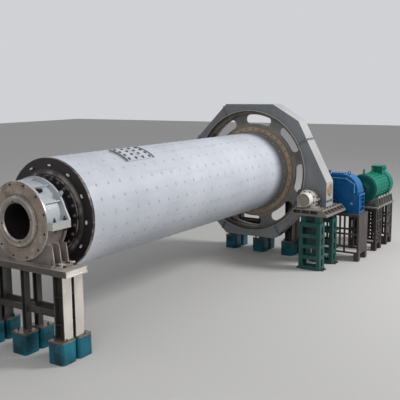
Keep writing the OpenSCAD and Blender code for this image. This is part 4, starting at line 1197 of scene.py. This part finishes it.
pipe_x = CASE_X0 - 0.040
oil_pipes = Stock()
pipe(oil_pipes, [at(pipe_x, CASE_Y0 + 0.10, PINION_Z + 0.10), at(pipe_x, CASE_Y0 + 0.10, PINION_Z + 0.34),
                    at(pipe_x, MOTOR_Y + 0.02, PINION_Z + 0.50), at(pipe_x, PINION_Y + 0.10, PINION_Z + 0.50),
                    at(pipe_x, PINION_Y + 0.10, PINION_Z + 0.30)])
oil_pipes.piece("reducer_oil_pipes", "frame", "pipe_blue", "reducer_blue")
reducer_trim.piece("reducer_trim", "frame", "reducer_blue", "reducer_blue")
reducer_bolts.piece("reducer_bolts", "frame", "dark_bolt", "reducer_blue")
sight = Stock()
sight.turned(at(CASE_X0, MOTOR_Y - 0.16, case_low.z + 0.30), (-1, 0, 0),
             [(0.040, 0), (0.040, 0.016), (0.030, 0.020), (0.026, 0.012), (0, 0.012)], 20)
sight.piece("oil_sight_glass", "frame", "bright_bolt", "machined_steel")

# %% [markdown]
# The motor has an end shield with its bolts, a bearing cap and two lifting eyes. The eye near the
# shaft stands on the full radius of the body, and the one behind it a little lower.

# %% Motor shield and lifting eyes
motor_low, motor_high = local("motor_body")
MOTOR_R = (motor_high.y - motor_low.y) / 2
MOTOR_X0, MOTOR_X1 = motor_low.x, motor_high.x
motor_trim = Stock()
motor_bolts = Stock()
bolt_circle(motor_bolts, MOTOR_X0 + 0.078, MOTOR_R * 0.90, 12, 15, 0.015, 0.020, -1, (MOTOR_Y, PINION_Z), 0.3)
bolt_circle(motor_bolts, MOTOR_X0, 0.120, 6, 30, 0.012, 0.014, -1, (MOTOR_Y, PINION_Z), 0)
motor_trim.turned(at(MOTOR_X0 + 0.05, MOTOR_Y, PINION_Z), (-1, 0, 0),
                  [(0.235, -0.010), (0.235, 0.012), (0.222, 0.020), (0.170, 0.024), (0.155, 0.040),
                   (0.150, 0.040)], 48)
for x, radius in ((MOTOR_X0 + 0.95, 0.9 * MOTOR_R), (MOTOR_X0 + 0.14, MOTOR_R)):
    crown = at(x, MOTOR_Y, PINION_Z + radius)
    motor_trim.turned(crown - Vector((0, 0, 0.010)), (0, 0, 1),
                      [(0.045, 0), (0.045, 0.040), (0.030, 0.050), (0.030, 0.070), (0, 0.070)], 16)
    motor_trim.loop(crown + Vector((0, 0, 0.105)), (0, 1, 0), 0.055, 0.016, 24, 10)
print("motor", round(2 * MOTOR_R, 3), "across and", round(MOTOR_X1 - MOTOR_X0, 3), "long")

# %% [markdown]
# The terminal box has a lid and two cable glands, and rings on the far end stand for the grille of
# the fan cowl. Bolts hold the motor's feet to its rails, and the rails have pale screws of their
# own.

# %% Terminal box, fan cowl and motor feet
box_low, box_high = local("motor_terminal_box")
BOX_LID_T, BOX_LID_OUT = 0.018, 0.010
COWL_FIRST_R, COWL_STEP, COWL_RING_W, COWL_RING_T = 0.10, 0.033, 0.014, 0.010
MOTOR_FOOT_T = 0.045
FOOT_BOLT_Y, RAIL_SCREW_Y = 0.412, 0.458
motor_trim.block(Vector(at(*box_low)) + Vector((-BOX_LID_OUT, -BOX_LID_OUT, box_high.z - box_low.z)),
                 Vector(at(*box_high)) + Vector((BOX_LID_OUT, BOX_LID_OUT, BOX_LID_T)))
for shift in (-0.09, 0.09):
    gland = at((box_low.x + box_high.x) / 2 + shift, box_low.y, (box_low.z + box_high.z) / 2)
    motor_trim.turned(gland, (0, -1, 0),
                      [(0.038, 0), (0.038, 0.02), (0.028, 0.024), (0.028, 0.055), (0.020, 0.060),
                       (0, 0.060)], 16)
for k in range(10):
    radius = COWL_FIRST_R + COWL_STEP * k
    motor_trim.turned(at(MOTOR_X1, MOTOR_Y, PINION_Z), (1, 0, 0),
                      [(radius, 0), (radius, COWL_RING_T), (radius + COWL_RING_W, COWL_RING_T),
                       (radius + COWL_RING_W, 0)], 48)
for k in range(4):
    for y in (box_low.y + 0.02, box_high.y - 0.02):
        x = box_low.x + 0.05 + k * (box_high.x - box_low.x - 0.10) / 3
        motor_bolts.nut(at(x, y, box_high.z + BOX_LID_T), (0, 0, 1), 0.010, 0.010, 0)
motor_feet = local("motor_base")[1].z + MOTOR_FOOT_T
for x in (MOTOR_X0 + 0.36, MOTOR_X0 + 0.50, MOTOR_X1 - 0.54, MOTOR_X1 - 0.40):
    for side in (-1, 1):
        motor_bolts.nut(at(x, MOTOR_Y + side * FOOT_BOLT_Y, motor_feet), (0, 0, 1), 0.024, 0.032, 1.2)
rail_screws = Stock()
for k in range(5):
    x = MOTOR_X0 + 0.34 + k * 0.29
    for side in (-1, 1):
        place = at(x, MOTOR_Y + side * RAIL_SCREW_Y, motor_feet - MOTOR_FOOT_T)
        rail_screws.nut(place, (0, 0, 1), 0.017, 0.024, 2.0)
rail_screws.piece("motor_rail_screws", "frame", "pale_bolt", "base_brown")
motor_trim.piece("motor_trim", "frame", "motor_green", "motor_green")
motor_bolts.piece("motor_bolts", "frame", "dark_bolt", "motor_green")

# %% [markdown]
# The floor is pale and plain, so that it shows the mill's shadow and nothing else. Light comes
# mostly from a wide lamp high on the drive side, as from a workshop's long window, with a weak one
# at the feed end. A narrow low one reaches the near pedestal, as through an open door, and the sky
# lifts the shadows without flattening the drum. Floor and sky look paler to the camera, and in the
# metal, than the light they pass on, which leaves the underside of the drum in shade.

# %% Floor, sky and lamps
FLOOR_SIZE = 80
FLOOR_Z = -0.001
FLOOR_CORNERS = [(-FLOOR_SIZE, -FLOOR_SIZE, FLOOR_Z), (FLOOR_SIZE, -FLOOR_SIZE, FLOOR_Z),
                 (FLOOR_SIZE, FLOOR_SIZE, FLOOR_Z), (-FLOOR_SIZE, FLOOR_SIZE, FLOOR_Z)]
SKY_LIGHT, SKY_SHOWN = 0.42, 0.24
floor_mesh = bpy.data.meshes.new("floor")
floor_mesh.from_pydata(FLOOR_CORNERS, [], [(0, 1, 2, 3)])
floor = bpy.data.objects.new("floor", floor_mesh)
scene.collection.objects.link(floor)
floor_paint = bpy.data.materials.new("pale_floor")
floor_paint.use_nodes = True
floor_shader = floor_paint.node_tree.nodes["Principled BSDF"]
PALE_FLOOR = (0.55, 0.54, 0.52)
BOUNCE_FLOOR = (0.36, 0.35, 0.33)


def looked_at(tree):
    """1 where the camera looks, by itself or in a mirror, and 0 where light is only passed on."""
    rays = tree.nodes.new("ShaderNodeLightPath").outputs
    return sum(Shade(tree, rays[name]) for name in ("Is Camera Ray", "Is Glossy Ray", "Is Transmission Ray"))


floor_tree = floor_paint.node_tree
put(floor_tree, floor_shader.inputs["Base Color"], looked_at(floor_tree).tint(BOUNCE_FLOOR, PALE_FLOOR))
floor_shader.inputs["Roughness"].default_value = 0.85
floor_mesh.materials.append(floor_paint)

scene.view_settings.view_transform = "Standard"
world = bpy.data.worlds.new("soft_sky")
world.use_nodes = True
sky = world.node_tree.nodes["Background"]
sky.inputs["Color"].default_value = (0.95, 0.97, 1, 1)
put(world.node_tree, sky.inputs["Strength"], looked_at(world.node_tree) * SKY_SHOWN + SKY_LIGHT)
scene.world = world


def lamp(name, place, target, size, power, spread=180):
    """A square lamp at place that faces target; a small spread in degrees keeps its light narrow."""
    data = bpy.data.lights.new(name, "AREA")
    data.size = size
    data.energy = power
    data.spread = math.radians(spread)
    piece = bpy.data.objects.new(name, data)
    piece.location = place
    piece.rotation_euler = (Vector(target) - Vector(place)).to_track_quat("-Z", "Y").to_euler()
    scene.collection.objects.link(piece)


lamp("window_light", place=(8, -15, 15), target=(1, 0, 2.0), size=6, power=3350)
lamp("feed_light", place=(-15, -5, 9), target=(-6, 0, 3), size=6, power=330)
lamp("door_light", place=at(-1.1, -12, -2.2), target=at(-0.9, -1.1, -1.78), size=1.5, power=15, spread=15)
print("floor, sky and three soft lamps are in place")

# %% [markdown]
# Trim should hug the solids it sits on.
